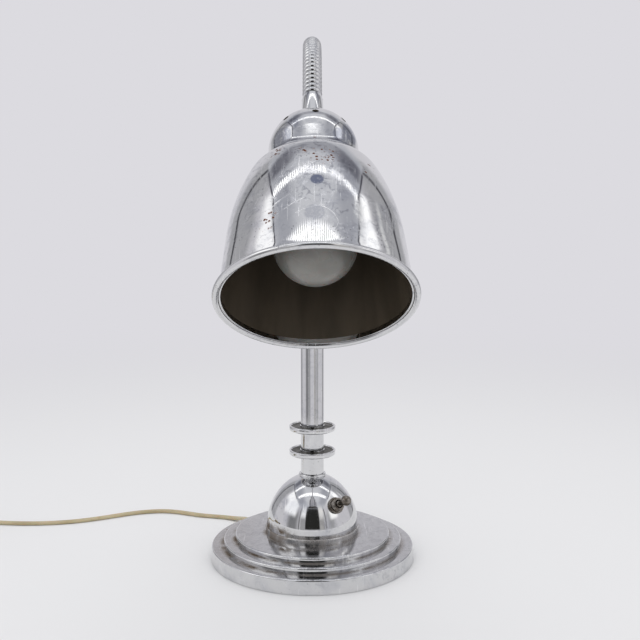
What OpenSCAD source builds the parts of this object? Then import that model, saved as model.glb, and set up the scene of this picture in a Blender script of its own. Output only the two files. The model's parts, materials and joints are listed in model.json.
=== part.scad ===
// Gooseneck desk lamp: stepped base, dome with toggle switch, stem with two discs,
// ribbed gooseneck, bell shade with vented cap, frosted bulb, flat cord with plug.
// The base rests on z = 0 with the stem on the Z axis, and the arm reaches towards -Y.

/* [Base] */
// Radius of the bottom tier at the table
base_r = 82.5; // [76:0.5:95]
// Height of the bottom tier
tier1_h = 11.2; // [9:0.1:16]
// Inward lean of the bottom tier's wall over its height
tier1_draft = 0.9; // [0:0.1:2]
// Radius of the middle tier
tier2_r = 71.8; // [67:0.1:74]
// Height of the middle tier above the bottom one
tier2_h = 5; // [3.5:0.1:8]
// Radius of the top tier
tier3_r = 62.4; // [50:0.1:65]
// Height of the top tier above the middle one
tier3_h = 4.4; // [3:0.1:8]
// Radius of the tiers' rounded edges
tier_round = 1.2; // [0.5:0.1:1.8]
// Sheet thickness of the spun base
base_sheet = 1.2; // [0.8:0.1:1.5]
// Thickness of the felt under the base
felt_t = 1.2; // [0.8:0.1:2]

/* [Dome] */
// Outer radius of the switch dome
dome_r = 36.8; // [33:0.1:42]
// Height of the dome's centre above the top tier
dome_rise = 6.4; // [5.5:0.1:10]
// How far the dome's curve is drawn in towards the stem, which makes its top pointed
dome_point = 6; // [0:0.5:8]
// Sheet thickness of the dome
dome_sheet = 1; // [0.8:0.1:1.4]
// Radius of the pressed flat on top of the dome
dome_flat_r = 10.8; // [9:0.1:12]
// Height of the band round the dome's foot
band_h = 4.8; // [3:0.1:5.2]
// Thickness of that band
band_t = 0.9; // [0.6:0.1:1.5]

/* [Stem] */
// Radius of the lamp pipe that clamps the stack together
pipe_r = 5; // [4.8:0.1:5.2]
// Radius of the pipe's bore
pipe_bore_r = 3.4; // [3:0.1:3.8]
// Radius of the ring on top of the dome
neck_ring_r = 11; // [10.8:0.1:13]
// Height of that ring
neck_ring_h = 2.4; // [1.5:0.1:4]
// Radius of the stem tube and spacers
stem_r = 9.25; // [8.5:0.05:10.5]
// Wall of the stem tube and spacers
stem_wall = 1.2; // [0.8:0.1:2]
// Height of the lower spacer
spacer1_h = 15.2; // [12:0.1:24]
// Height of the upper spacer
spacer2_h = 15.8; // [12:0.1:24]
// Radius of the two discs
disc_r = 18.6; // [15:0.1:24]
// Thickness of the discs
disc_h = 4; // [3:0.1:6]
// Length of the stem tube
tube_len = 107.2; // [80:0.2:140]
// Height of the ferrule above the tube
ferrule_h = 7; // [6:0.1:10]

/* [Gooseneck] */
// Straight length of the gooseneck above the ferrule
neck_rise = 107.7; // [80:0.1:130]
// Radius of the gooseneck's bend
neck_bend_r = 62; // [50:0.5:75]
// Angle through which the gooseneck bends over
neck_bend = 145.34; // [120:0.01:160]
// Straight length after the bend
neck_tail = 18.6; // [10:0.1:30]
// Radius over the ribs
neck_r = 6.35; // [5.8:0.05:6.6]
// Depth of the grooves between the ribs
rib_depth = 0.65; // [0.4:0.05:0.8]
// Radius of the bore that takes the next section's lip
neck_bore_r = 4.6; // [4.5:0.05:4.7]
// Ribs on each rigid section
ribs_per_link = 8; // [4:1:8]
// Gap between two sections, in a groove
joint_gap = 1.3; // [1.1:0.05:1.4]
// Radius of the ball-shaped lip that seats in the section before
lip_r = 4.15; // [4:0.05:4.2]
// Radius of the wire way through the lip
lip_bore_r = 2.7; // [2.4:0.1:2.9]
// Turn of the arm about the stem, towards +X
arm_yaw = 0.6; // [-45:0.1:45]
// Turn of the shade about its joint with the gooseneck, towards +X
head_turn = 1.4; // [-3:0.1:3]

/* [Shade] */
// Outer radius of the rolled rim
rim_r = 58.3; // [55:0.1:64]
// Radius of the roll
bead_r = 2; // [1.4:0.1:2.6]
// Sheet thickness of the shade
shade_sheet = 0.9; // [0.6:0.1:1.2]
// Lean of the straight lower wall, in degrees
wall_lean = 5.2; // [3:0.1:8]
// Height of the straight lower wall
wall_h = 36; // [25:0.5:45]
// Radius of the long curve above it
crown_r = 131; // [120:1:140]
// Slope at which the long curve ends, in degrees
crown_end = 25; // [23:0.5:27]
// Radius of the shoulder
shoulder_r = 16; // [12:0.5:18]
// Radius of the hollow between shoulder and cap
waist_r = 5; // [3:0.5:7]
// Outer radius of the vented cap
cap_r = 27.7; // [26:0.1:29]
// Straight part of the cap below its dome
cap_skirt = 10.85; // [8:0.05:14]
// Number of vent holes in the cap
vents = 8; // [6:1:10]
// Radius of a vent hole
vent_r = 2; // [1.2:0.1:2.6]
// Angle of the vents from the top of the cap
vent_polar = 63; // [55:1:70]
// Length of the collar between the cap and the gooseneck
collar_h = 18.6; // [16:0.1:24]
// Radius of the collar
collar_r = 6.9; // [6.6:0.1:8]

/* [Socket and bulb] */
// Outer radius of the socket shell
socket_r = 17; // [16.5:0.1:18]
// Length of the socket from its mouth to its top
socket_len = 48; // [45:0.5:52]
// Height of the gap between the socket's top and the cap's top
socket_drop = 10; // [8:0.1:12]
// Outer radius of the bulb's screw cap
bulb_cap_r = 13.1; // [12.8:0.05:13.3]
// Radius of the bulb
bulb_r = 24.9; // [22:0.1:26]
// Length of the bulb's glass from its screw cap to its tip
bulb_len = 63.4; // [58:0.1:68]

/* [Switch] */
// Direction of the switch round the dome, from the front towards +X
switch_turn = 36; // [0:1:60]
// Slope of the switch above the horizontal
switch_slope = 30.5; // [28:0.5:36]
// Radius of the threaded bushing
bushing_r = 5; // [4.8:0.1:5.5]
// How far the bushing stands out of the dome
bushing_out = 6; // [5:0.1:8]
// Radius of the ring nut
ring_nut_r = 6.3; // [6:0.1:8]
// Thickness of the ring nut
ring_nut_t = 2.5; // [1.5:0.1:3]
// Length of the lever from its pivot to the middle of its ball
lever_len = 12.5; // [12:0.1:16]
// Radius of the lever's ball
lever_ball_r = 4; // [3:0.1:4.5]
// Tilt of the lever from the bushing's axis, to either side
lever_throw = 7; // [5:0.5:10]

/* [Cord] */
// Width of the flat twin cord
cord_w = 5.3; // [4.6:0.1:5.4]
// Thickness of the cord
cord_t = 2.8; // [2.2:0.1:2.9]
// Direction of the cord's outlet round the base, from the back towards -X
cord_turn = 40; // [30:1:50]
// Height of the outlet above the table
cord_outlet_z = 5.5; // [5:0.1:6]
// Turns in the stored coil
coil_turns = 8.25; // [6.25:1:10.25]
// Inner radius of the coil, at the middle of the cord
coil_in_r = 23; // [20:0.5:26]

/* [Hidden] */
$fn = 96;
eps = 0.01;

// Running and seating clearances
thread_fit = 0.05;   // a threaded piece in its hole
sheet_fit = 0.2;     // the weight inside the spun base
hole_fit = 0.15;     // a bushing in a sheet-metal hole

// Heights up the stem
tier2_z = tier1_h;
tier3_z = tier2_z + tier2_h;
base_top = tier3_z + tier3_h;
dome_z = base_top + dome_rise;
dome_curve = dome_r + dome_point;  // radius of the dome's curve
dome_top = dome_z + sqrt(dome_curve ^ 2 - (dome_flat_r + dome_point) ^ 2);
ring_top = dome_top + neck_ring_h;
disc1_z = ring_top + spacer1_h;
spacer2_z = disc1_z + disc_h;
disc2_z = spacer2_z + spacer2_h;
tube_z = disc2_z + disc_h;
ferrule_z = tube_z + tube_len;
neck_z = ferrule_z + ferrule_h;
ferrule_plug = 12;   // how deep the ferrule sits in the tube
plug_fit = 0.1;      // the ferrule's plug inside the tube

// Under the base
nut_af = 19;         // across the flats of the base nut
nut_h = 4;
washer_r = 12;
washer_t = 1.6;
recess_r = 13;       // the weight's recess for nut and washer
recess_top = 8.2;
pipe_foot = 1.9;
channel_w = 9;       // the weight's channel for the cord
channel_in_r = 18;
riser_r = 21;        // where the cord rises into the dome
riser_hole_r = 4;
shell_foot = 0.3;    // the spun edge stays clear of the table
slot_z = base_top + 17;  // the cross hole in the pipe, inside the dome
slot_r = 2.9;

// Cord outlet
bushing_flange_t = 1.5;
bushing_flange_r = 4.6;
bushing_barrel_r = 3.6;
bushing_bore_r = 2.9;
bushing_barrel = 6;
outlet_lean = tier1_draft / (tier1_h - tier_round - shell_foot);  // the wall's lean there
outlet_r = base_r - outlet_lean * (cord_outlet_z - shell_foot);
inner_cord_r = 2;

// Switch
lever_pivot = dome_curve + 1.5;  // from the centre of the dome's curve
lever_bore_r = 3.4;
switch_d = dome_curve - dome_sheet;
switch_washer_r = 6.8;
switch_washer_t = 1;
switch_size = [13, 15, 16];
// The washer's edge meets the inside of the dome where it curves most, round the stem
round_r = switch_d - dome_point / cos(switch_slope);
switch_top = switch_d - round_r + sqrt(round_r ^ 2 - switch_washer_r ^ 2) - switch_washer_t - 0.02;
terminal_gap = 9;
terminal_h = 2.5;
wire_r = 1.2;

// Gooseneck
LINKS = 10;
LINK_SIDES = 12;
neck_arc = neck_bend_r * neck_bend * PI / 180;
neck_len = neck_rise + neck_arc + neck_tail;
link_len = neck_len / LINKS;
rib_pitch = link_len / ribs_per_link;
groove_r = neck_r - rib_depth;
lip_reach = 2.3;     // the lip reaches this far past the pivot
lip_root = 3;        // and starts this far inside its own section

// Shade, in the head's frame: z runs up its axis from the plane of the rim
wall_foot_r = rim_r - 2 * bead_r + 0.7;
wall_top_r = wall_foot_r - wall_h * tan(wall_lean);
crown_c = [wall_top_r - crown_r * cos(wall_lean), wall_h - crown_r * sin(wall_lean)];
crown_top = crown_c + crown_r * [cos(crown_end), sin(crown_end)];
shoulder_c = crown_top - shoulder_r * [cos(crown_end), sin(crown_end)];
shoulder_end = acos((cap_r + waist_r - shoulder_c.x) / (shoulder_r + waist_r));
waist_c = shoulder_c + (shoulder_r + waist_r) * [cos(shoulder_end), sin(shoulder_end)];
cap_z = waist_c.y + cap_skirt;
cap_top = cap_z + cap_r;
head_len = cap_top + collar_h;
vent_phase = 2;
nipple_hole_r = pipe_r + hole_fit;
collar_z = cap_z + sqrt(cap_r ^ 2 - nipple_hole_r ^ 2);
nipple_top = collar_z + 6.5;
locknut_af = 15;
locknut_h = 3;
locknut_top = cap_z + sqrt((cap_r - shade_sheet) ^ 2 - (locknut_af / 2 / cos(30)) ^ 2);

// Socket and bulb, in the head's frame
socket_top = cap_top - socket_drop;
socket_z = socket_top - socket_len;
socket_cap_z = socket_top - 14;
socket_sheet = 0.7;
socket_lap = 4;
body_r = socket_r - 1.6;
body_z = socket_top - 34;
body_top = socket_top - 12.2;
body_floor = 5.5;
screw_shell_r = bulb_cap_r + 0.9;
screw_shell_t = 0.5;
contact_t = 1.8;
seat_z = body_top - body_floor - contact_t;  // where the bulb's tip contact bears
tip_t = 2;
bulb_cap_h = 24.7;
bulb_cap_z = seat_z - tip_t - bulb_cap_h + 1.2;
bulb_z = bulb_cap_z - bulb_len + bulb_r;
glass_t = 0.8;
glass_neck_r = bulb_cap_r - 0.1;

// Where the shade joins the gooseneck: [distance out along the arm, height]
neck_end = neck_point(neck_len);
drop = 180 - neck_bend;  // tilt of the shade from the vertical

// Cord on the table: the middle of the cord, chosen by hand
cord_route = [
    [-53.7, 64, 5.6], [-57.6, 68.6, 5.4], [-62, 73.8, 4.7], [-66.8, 78.8, 3.3],
    [-73, 83.6, 2], [-81, 87.4, 1.5], [-92, 90, 1.5], [-104, 93, 1.5], [-116, 98, 1.5],
    [-128, 102.6, 1.5], [-141, 104.8, 1.5], [-155, 103, 1.5], [-168, 98.6, 1.5],
    [-181, 92, 1.5], [-195, 84.6, 1.5], [-210, 78, 1.5], [-226, 73.4, 1.5],
    [-243, 71, 1.5], [-260, 70.6, 1.5], [-277, 72, 1.5], [-293, 74.4, 1.5],
    [-308, 76.6, 1.7], [-322, 77.8, 2.2], [-333, 78, 2.4], [-340, 78, 2.4]
];
RUN_SIDES = 8;
COIL_SIDES = 6;
COIL_STEPS = 24;     // rings on each turn
COIL_LAYERS = 4;
coil_gap = 0.7;
coil_pitch = cord_w + coil_gap;
layer_pitch = cord_t + coil_gap;
layer_turns = coil_turns / COIL_LAYERS;
coil_out_r = coil_in_r + coil_pitch * layer_turns;
coil_start = cord_route[len(cord_route) - 1];
coil_c = [coil_start.x, coil_start.y - coil_out_r];
coil_z = coil_start.z;
tie_t = 0.6;
tie_w = 8;
tie_turn = 20;

// Plug, beyond the straight tail that leaves the coil
plug_size = [22, 36, 13];  // across, along the cord, high
plug_relief = 18;          // length of the tapered strain relief
plug_blade = [1.5, 15.9, 6.3];
blade_gap = 12.7;
tail_len = 36;
tail_sag = 4;
tail_x = coil_c.x - coil_out_r;
tail_z = coil_z + (COIL_LAYERS - 1) * layer_pitch;
plug_y = coil_c.y - tail_len;

chrome = [0.76, 0.77, 0.79];
brass = [0.72, 0.6, 0.34];
iron = [0.28, 0.28, 0.29];
bronze = [0.24, 0.22, 0.2];
ivory = [0.78, 0.74, 0.62];
cord_gold = [0.62, 0.56, 0.36];

// ---- Shared shapes ----

// Points of an arc from angle a to angle b
function arc(c, r, a, b, n) =
    [for (i = [0:n]) c + r * [cos(a + (b - a) * i / n), sin(a + (b - a) * i / n)]];

function reversed(p) = [for (i = [len(p) - 1:-1:0]) p[i]];

module ring(outer, inner, h) {
    difference() {
        cylinder(r = outer, h = h);
        translate([0, 0, -1]) cylinder(r = inner, h = h + 2);
    }
}

// A hexagonal nut with a round hole
module hex_nut(af, h, hole) {
    difference() {
        cylinder(r = af / 2 / cos(30), h = h, $fn = 6);
        translate([0, 0, -1]) cylinder(r = hole, h = h + 2);
    }
}

// Skin over a list of rings with as many points each, which run clockwise for one
// who looks along the rings, closed with two caps, or into itself as a loop
module skin(rings, loop = false) {
    n = len(rings[0]);
    m = len(rings);
    sides = [for (k = [0:m - (loop ? 1 : 2)], i = [0:n - 1], t = [0, 1])
        let (a = k * n, b = (k + 1) % m * n, j = (i + 1) % n)
        t == 0 ? [a + i, a + j, b + j] : [a + i, b + j, b + i]];
    caps = loop ? [] : [[for (i = [n - 1:-1:0]) i], [for (i = [0:n - 1]) (m - 1) * n + i]];
    polyhedron(points = [for (r = rings) each r], faces = concat(sides, caps), convexity = 6);
}

function unit(v) = v / norm(v);

// Direction of a run of points at point i
function heading(p, i) = unit(
    (i < len(p) - 1 ? unit(p[i + 1] - p[i]) : [0, 0, 0]) + (i > 0 ? unit(p[i] - p[i - 1]) : [0, 0, 0]));

// An insulated wire of radius r through straight runs, mitred where they meet;
// square is a direction across all of its runs
module wire(points, r, square) {
    skin([for (i = [0:len(points) - 1])
        let (d = heading(points, i), a = unit(cross(d, square)), b = cross(a, d))
        [for (k = [0:7]) points[i] + r * (a * cos(45 * k) + b * sin(45 * k))]]);
}

// ---- Base ----

// Outline of the spun base, moved inwards by d
function base_outline(d) = let (q = max(tier_round - d, 0.1)) concat(
    [[0, base_top - d]],
    arc([tier3_r - d - q, base_top - d - q], q, 90, 0, 6),
    [[tier3_r - d, tier3_z - d]],
    arc([tier2_r - d - q, tier3_z - d - q], q, 90, 0, 6),
    [[tier2_r - d, tier2_z - d]],
    arc([base_r - tier1_draft - d - q, tier1_h - d - q], q, 90, 0, 6),
    [[base_r - d, shell_foot]]);

module at_outlet() {
    rotate([0, 0, cord_turn]) translate([0, outlet_r, cord_outlet_z])
        rotate([atan(outlet_lean) - 90, 0, 0]) children();
}

module base_shell() {
    color(chrome) difference() {
        rotate_extrude($fn = 180) polygon(concat(
            base_outline(0), reversed(base_outline(base_sheet))));
        translate([0, 0, base_top - base_sheet - 1])
            cylinder(r = pipe_r + hole_fit, h = base_sheet + 2);
        rotate([0, 0, cord_turn]) translate([0, riser_r, base_top - base_sheet - 1])
            cylinder(r = riser_hole_r, h = base_sheet + 2);
        at_outlet() translate([0, 0, -bushing_barrel])
            cylinder(r = bushing_barrel_r + hole_fit, h = 2 * bushing_barrel);
    }
}

module base_weight() {
    inset = base_sheet + sheet_fit;
    color(iron) difference() {
        union() {
            translate([0, 0, felt_t]) cylinder(r = base_r - tier1_draft - inset - 0.4,
                h = tier1_h - inset - felt_t - 0.4);
            translate([0, 0, felt_t]) cylinder(r = tier2_r - inset - 0.4, h = tier3_z - inset - felt_t - 0.4);
            translate([0, 0, felt_t]) cylinder(r = tier3_r - inset - 0.4, h = base_top - inset - felt_t);
        }
        translate([0, 0, felt_t - 1]) cylinder(r = pipe_r + hole_fit, h = base_top);
        translate([0, 0, felt_t - 1]) cylinder(r = recess_r, h = recess_top - felt_t + 1);
        rotate([0, 0, cord_turn]) {
            translate([-channel_w / 2, channel_in_r, felt_t - 1]) cube([channel_w, base_r, 10.5]);
            translate([0, riser_r, felt_t]) cylinder(r = riser_hole_r, h = base_top);
        }
    }
}

module base_felt() {
    color([0.2, 0.32, 0.22]) cylinder(r = base_r - base_sheet - 0.1, h = felt_t, $fn = 180);
}

module base_nut() {
    color(brass) translate([0, 0, recess_top - washer_t - nut_h]) hex_nut(nut_af, nut_h, pipe_r + thread_fit);
}

module base_washer() {
    color(iron) translate([0, 0, recess_top - washer_t]) ring(washer_r, pipe_r + hole_fit, washer_t);
}

module cord_bushing() {
    color(bronze) at_outlet() difference() {
        union() {
            cylinder(r1 = bushing_flange_r, r2 = bushing_flange_r - 0.8, h = bushing_flange_t);
            translate([0, 0, -bushing_barrel]) cylinder(r = bushing_barrel_r, h = bushing_barrel + eps);
        }
        translate([0, 0, -bushing_barrel - 1])
            cylinder(r = bushing_bore_r, h = bushing_barrel + bushing_flange_t + 2);
    }
}

module cord_inner() {
    start_r = outlet_r + bushing_flange_t;
    color(cord_gold) rotate([0, 0, cord_turn]) wire([
        [0, start_r - inner_cord_r, cord_outlet_z], [0, riser_r, cord_outlet_z],
        [0, riser_r, base_top + 3], [0, pipe_r + inner_cord_r + 0.3, slot_z]], inner_cord_r, [1, 0, 0]);
}

// ---- Dome and stem ----

module dome() {
    c = [-dome_point, dome_z];
    skirt_r = dome_r - 0.2;
    inner_curve = dome_curve - dome_sheet;
    foot_a = -acos((skirt_r + dome_point) / dome_curve);
    flat_a = acos((dome_flat_r + dome_point) / dome_curve);
    inner_flat = asin((dome_top - dome_sheet - dome_z) / inner_curve);
    inner_foot = -acos((skirt_r - dome_sheet + dome_point) / inner_curve);
    color(chrome) difference() {
        rotate_extrude($fn = 120) polygon(concat(
            [[skirt_r, base_top]],
            arc(c, dome_curve, foot_a, flat_a, 28),
            [[pipe_r + hole_fit, dome_top], [pipe_r + hole_fit, dome_top - dome_sheet]],
            arc(c, inner_curve, inner_flat, inner_foot, 28),
            [[skirt_r - dome_sheet, base_top]]));
        at_switch() translate([0, 0, dome_curve - 5]) cylinder(r = bushing_r + hole_fit, h = 10);
    }
}

module dome_band() {
    color(chrome) translate([0, 0, base_top]) difference() {
        union() {
            cylinder(r = dome_r + band_t - 0.3, h = band_h);
            cylinder(r = dome_r + band_t, h = band_h - 0.6);
        }
        translate([0, 0, -1]) cylinder(r = dome_r + thread_fit, h = band_h + 2);
    }
}

module neck_ring() {
    color(chrome) translate([0, 0, dome_top]) difference() {
        rotate_extrude() polygon(concat([[0, 0], [neck_ring_r - 0.5, 0]],
            arc([neck_ring_r - neck_ring_h / 2, neck_ring_h / 2], neck_ring_h / 2, -60, 60, 8),
            [[neck_ring_r - 0.5, neck_ring_h], [0, neck_ring_h]]));
        translate([0, 0, -1]) cylinder(r = pipe_r + hole_fit, h = neck_ring_h + 2);
    }
}

module spacer(z, h) {
    color(chrome) translate([0, 0, z]) ring(stem_r, stem_r - stem_wall, h);
}

module lower_spacer() { spacer(ring_top, spacer1_h); }
module upper_spacer() { spacer(spacer2_z, spacer2_h); }

// A turned disc with a rounded edge and a shallow dish on top
module stem_disc(z) {
    lip = 0.7;
    dish = 0.8;
    edge = disc_h / 2;
    color(chrome) translate([0, 0, z]) rotate_extrude($fn = 120) polygon(concat(
        [[pipe_r + hole_fit, 0], [disc_r - edge * 0.6, 0]],
        arc([disc_r - edge * 0.6, edge * 0.6], edge * 0.6, -90, 0, 5),
        [[disc_r, disc_h - 0.7]],
        arc([disc_r - 0.7, disc_h - 0.7], 0.7, 0, 90, 4),
        [[disc_r - 0.7 - lip, disc_h], [disc_r - 1.2 - lip, disc_h - dish],
            [stem_r + 0.6, disc_h - dish], [stem_r + 0.6, disc_h], [pipe_r + hole_fit, disc_h]]));
}

module lower_disc() { stem_disc(disc1_z); }
module upper_disc() { stem_disc(disc2_z); }

module stem_tube() { spacer(tube_z, tube_len); }

module stem_ferrule() {
    plug_r = stem_r - stem_wall - plug_fit;
    top = ferrule_h - joint_gap / 2;
    color(chrome) translate([0, 0, ferrule_z]) difference() {
        union() {
            translate([0, 0, -ferrule_plug]) cylinder(r = plug_r, h = ferrule_plug + eps);
            cylinder(r = stem_r, h = 1.6);
            rotate_extrude() polygon(concat([[0, 0]],
                arc([stem_r - 0.4 - 2.4, 1.6], 2.4, 0, 80, 8), [[neck_r + 0.4, top], [0, top]]));
        }
        translate([0, 0, -ferrule_plug - 1]) cylinder(r = pipe_r + thread_fit, h = ferrule_plug);
        translate([0, 0, -ferrule_plug]) cylinder(r = pipe_bore_r, h = ferrule_plug + 3);
        translate([0, 0, ferrule_h - 4]) cylinder(r = neck_bore_r, h = 5);
    }
}

module lamp_pipe() {
    color(brass) difference() {
        translate([0, 0, pipe_foot]) ring(pipe_r, pipe_bore_r, ferrule_z - 1.2 - pipe_foot);
        rotate([0, 0, cord_turn]) translate([0, -20, slot_z]) rotate([-90, 0, 0])
            cylinder(r = slot_r, h = 40);
    }
}

// ---- Switch ----

// z runs along the switch from the centre of the dome's curve on its side
module at_switch() {
    translate([0, 0, dome_z]) rotate([0, 0, switch_turn - 90]) translate([-dome_point, 0, 0])
        rotate([0, 90 - switch_slope, 0]) children();
}

module switch_bushing() {
    color(brass) at_switch() difference() {
        translate([0, 0, switch_top]) cylinder(r = bushing_r, h = dome_curve + bushing_out - switch_top);
        translate([0, 0, lever_pivot - 3.6]) cylinder(r = lever_bore_r, h = bushing_out + 5);
    }
}

module switch_nut() {
    seat = sqrt(dome_curve ^ 2 - (bushing_r + hole_fit) ^ 2);
    knurls = 20;
    color(bronze) at_switch() translate([0, 0, seat]) difference() {
        union() {
            cylinder(r = ring_nut_r - 0.3, h = ring_nut_t);
            translate([0, 0, 0.4]) cylinder(r = ring_nut_r, h = ring_nut_t - 0.8);
        }
        translate([0, 0, -1]) cylinder(r = bushing_r + thread_fit, h = ring_nut_t + 2);
        for (i = [0:knurls - 1]) rotate([0, 0, i * 360 / knurls])
            translate([ring_nut_r + 0.15, 0, -1]) cylinder(r = 0.45, h = ring_nut_t + 2, $fn = 48);
    }
}

module switch_washer() {
    color(iron) at_switch() translate([0, 0, switch_top])
        ring(switch_washer_r, bushing_r + hole_fit, switch_washer_t);
}

module switch_body() {
    color([0.12, 0.1, 0.09]) at_switch() translate([0, 0, switch_top - switch_size.z])
        translate([-switch_size.x / 2, -switch_size.y / 2, 0]) cube(switch_size);
}

module switch_terminals() {
    color(brass) at_switch() for (s = [-1, 1])
        translate([0, s * terminal_gap / 2, switch_top - switch_size.z - terminal_h])
            cylinder(r = 2.2, h = terminal_h);
}

// Two wires from the terminals through the pipe's cross hole and up the pipe
module switch_leads() {
    low = switch_top - switch_size.z - terminal_h - wire_r;
    spread = terminal_gap / 2;
    a = switch_turn - 90;
    out = low * cos(switch_slope) - dome_point;
    up = dome_z + low * sin(switch_slope);
    across = [-sin(a), cos(a), 0];
    radial = [cos(a), sin(a), 0];
    color(bronze) for (s = [-1, 1])
        wire([
            radial * out + across * s * spread + [0, 0, up],
            radial * (pipe_r + 2) + across * s * 1.25 + [0, 0, slot_z],
            across * s * 1.25 + [0, 0, slot_z],
            across * s * 1.25 + [0, 0, ferrule_z - ferrule_plug]], wire_r, across);
}

module switch_lever() {
    ball = lever_ball_r;
    color(bronze) at_switch() translate([0, 0, lever_pivot]) rotate([-lever_throw, 0, 0])
        rotate_extrude($fn = 48) polygon(concat(
            [[0, -2.6]], arc([0, 0], 2.6, -80, 40, 10), [[1.7, 3.2], [2.1, lever_len - ball]],
            arc([0, lever_len], ball, -50, 90, 14)));
}

// ---- Gooseneck ----

// Angle of the gooseneck from the vertical, s along it
function neck_angle(s) = min(max(s - neck_rise, 0) / neck_arc, 1) * neck_bend;

// Its middle, s along it: [out along the arm, height]
function neck_point(s) =
    let (a = neck_angle(s), past = max(s - neck_rise - neck_arc, 0))
    [neck_bend_r * (1 - cos(a)) + past * sin(a),
        neck_z + min(s, neck_rise) + neck_bend_r * sin(a) + past * cos(a)];

// A ring of radius r round the gooseneck, u straight on from the point s along it
function neck_loop(s, u, r) =
    let (a = neck_angle(s), c = neck_point(s) + u * [sin(a), cos(a)])
    [for (i = [0:LINK_SIDES - 1]) let (t = 360 * i / LINK_SIDES)
        [r * cos(t), -c.x - r * sin(t) * cos(a), c.y - r * sin(t) * sin(a)]];

module at_arm() { rotate([0, 0, arm_yaw]) children(); }

// One rigid section: ribs outside, a bore, and a ball-shaped lip in the section before
module neck_link(k) {
    a = (k - 1) * link_len;
    b = k * link_len;
    g = joint_gap / 2;
    ribs = [for (i = [0:ribs_per_link - 1]) each [
        neck_loop(max(a + i * rib_pitch, a + g), 0, groove_r),
        neck_loop(a + (i + 0.5) * rib_pitch, 0, neck_r)]];
    bore = [for (s = [b - g, b - link_len / 3, a + link_len / 3]) neck_loop(s, 0, neck_bore_r)];
    lip = [neck_loop(a, lip_root, neck_bore_r), neck_loop(a, lip_root, lip_bore_r),
        neck_loop(a, -lip_reach, lip_bore_r),
        neck_loop(a, -lip_reach, sqrt(lip_r ^ 2 - lip_reach ^ 2)),
        neck_loop(a, 0, lip_r), neck_loop(a, g, lip_r)];
    color(chrome) at_arm() skin(concat(ribs, [neck_loop(b - g, 0, groove_r)], bore, lip), true);
}

module neck_link_1() { neck_link(1); }
module neck_link_2() { neck_link(2); }
module neck_link_3() { neck_link(3); }
module neck_link_4() { neck_link(4); }
module neck_link_5() { neck_link(5); }
module neck_link_6() { neck_link(6); }
module neck_link_7() { neck_link(7); }
module neck_link_8() { neck_link(8); }
module neck_link_9() { neck_link(9); }
module neck_link_10() { neck_link(10); }

// ---- Head ----

// z runs up the shade's axis from the middle of the rim
module at_head() {
    at_arm() translate([0, -neck_end.x, neck_end.y]) rotate([0, 0, head_turn]) rotate([-drop, 0, 0])
        translate([0, 0, -head_len]) children();
}

module neck_collar() {
    top = head_len - joint_gap / 2;
    color(chrome) at_head() difference() {
        union() {
            rotate_extrude() polygon([[0, collar_z], [collar_r, collar_z],
                [collar_r - 0.1, top - 3.2], [collar_r - 0.5, top - 2.2],
                [groove_r + 0.5, top], [0, top]]);
            translate([0, 0, head_len]) intersection() {
                sphere(r = lip_r);
                translate([0, 0, -5]) cylinder(r = lip_r + 1, h = 5 + lip_reach);
            }
        }
        translate([0, 0, collar_z - 1]) cylinder(r = pipe_r + thread_fit, h = nipple_top - collar_z + 1.1);
        translate([0, 0, collar_z]) cylinder(r = lip_bore_r, h = collar_h + 10);
    }
}

module shade_nipple() {
    color(brass) at_head() translate([0, 0, socket_top - 4])
        ring(pipe_r, pipe_bore_r, nipple_top - socket_top + 4);
}

module shade_locknut() {
    color(brass) at_head() translate([0, 0, locknut_top - locknut_h])
        hex_nut(locknut_af, locknut_h, pipe_r + thread_fit);
}

// Outline of the shade's sheet, moved inwards by d
function shade_outline(d) = concat(
    [[wall_foot_r - d, 0], [wall_top_r - d, wall_h]],
    arc(crown_c, crown_r - d, wall_lean, crown_end, 12),
    arc(shoulder_c, shoulder_r - d, crown_end, shoulder_end, 10),
    arc(waist_c, waist_r + d, 180 + shoulder_end, 180, 7),
    arc([0, cap_z], cap_r - d, 0, acos(nipple_hole_r / (cap_r - d)), 20));

module shade() {
    color(chrome) at_head() difference() {
        rotate_extrude($fn = 180) union() {
            polygon(concat(shade_outline(0), reversed(shade_outline(shade_sheet))));
            translate([rim_r - bead_r, 0]) circle(r = bead_r, $fn = 32);
        }
        for (i = [0:vents - 1]) rotate([0, 0, i * 360 / vents + vent_phase - 90])
            translate([0, 0, cap_z]) rotate([0, vent_polar, 0])
                translate([0, 0, cap_r - 5]) cylinder(r = vent_r, h = 10, $fn = 48);
    }
}

module socket_cap() {
    hub = pipe_r + 3;
    drop_r = socket_top - socket_cap_z - socket_lap;
    color(brass) at_head() difference() {
        rotate_extrude() polygon(concat(
            [[socket_r, socket_cap_z - socket_lap], [socket_r, socket_cap_z]],
            arc([socket_r - drop_r, socket_cap_z], drop_r, 0, 80, 12),
            [[hub, socket_top - 2], [hub, socket_top], [0, socket_top], [0, socket_top - 4],
                [socket_r - drop_r, socket_cap_z + drop_r - socket_sheet - 1]],
            arc([socket_r - drop_r, socket_cap_z], drop_r - socket_sheet, 80, 0, 12),
            [[socket_r - socket_sheet, socket_cap_z - socket_lap]]));
        translate([0, 0, socket_top - 8]) cylinder(r = pipe_r + thread_fit, h = 9);
    }
}

module socket_shell() {
    r = socket_r - socket_sheet - thread_fit;
    color(brass) at_head() rotate_extrude() polygon([
        [r, socket_cap_z], [r, socket_cap_z - socket_lap - 1], [socket_r, socket_cap_z - socket_lap - 2],
        [socket_r, socket_z + 1.2], [socket_r + 0.5, socket_z + 0.6], [socket_r, socket_z],
        [socket_r - socket_sheet, socket_z], [socket_r - socket_sheet, socket_cap_z - socket_lap - 2.6],
        [r - socket_sheet, socket_cap_z - socket_lap - 1.6], [r - socket_sheet, socket_cap_z]]);
}

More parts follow.
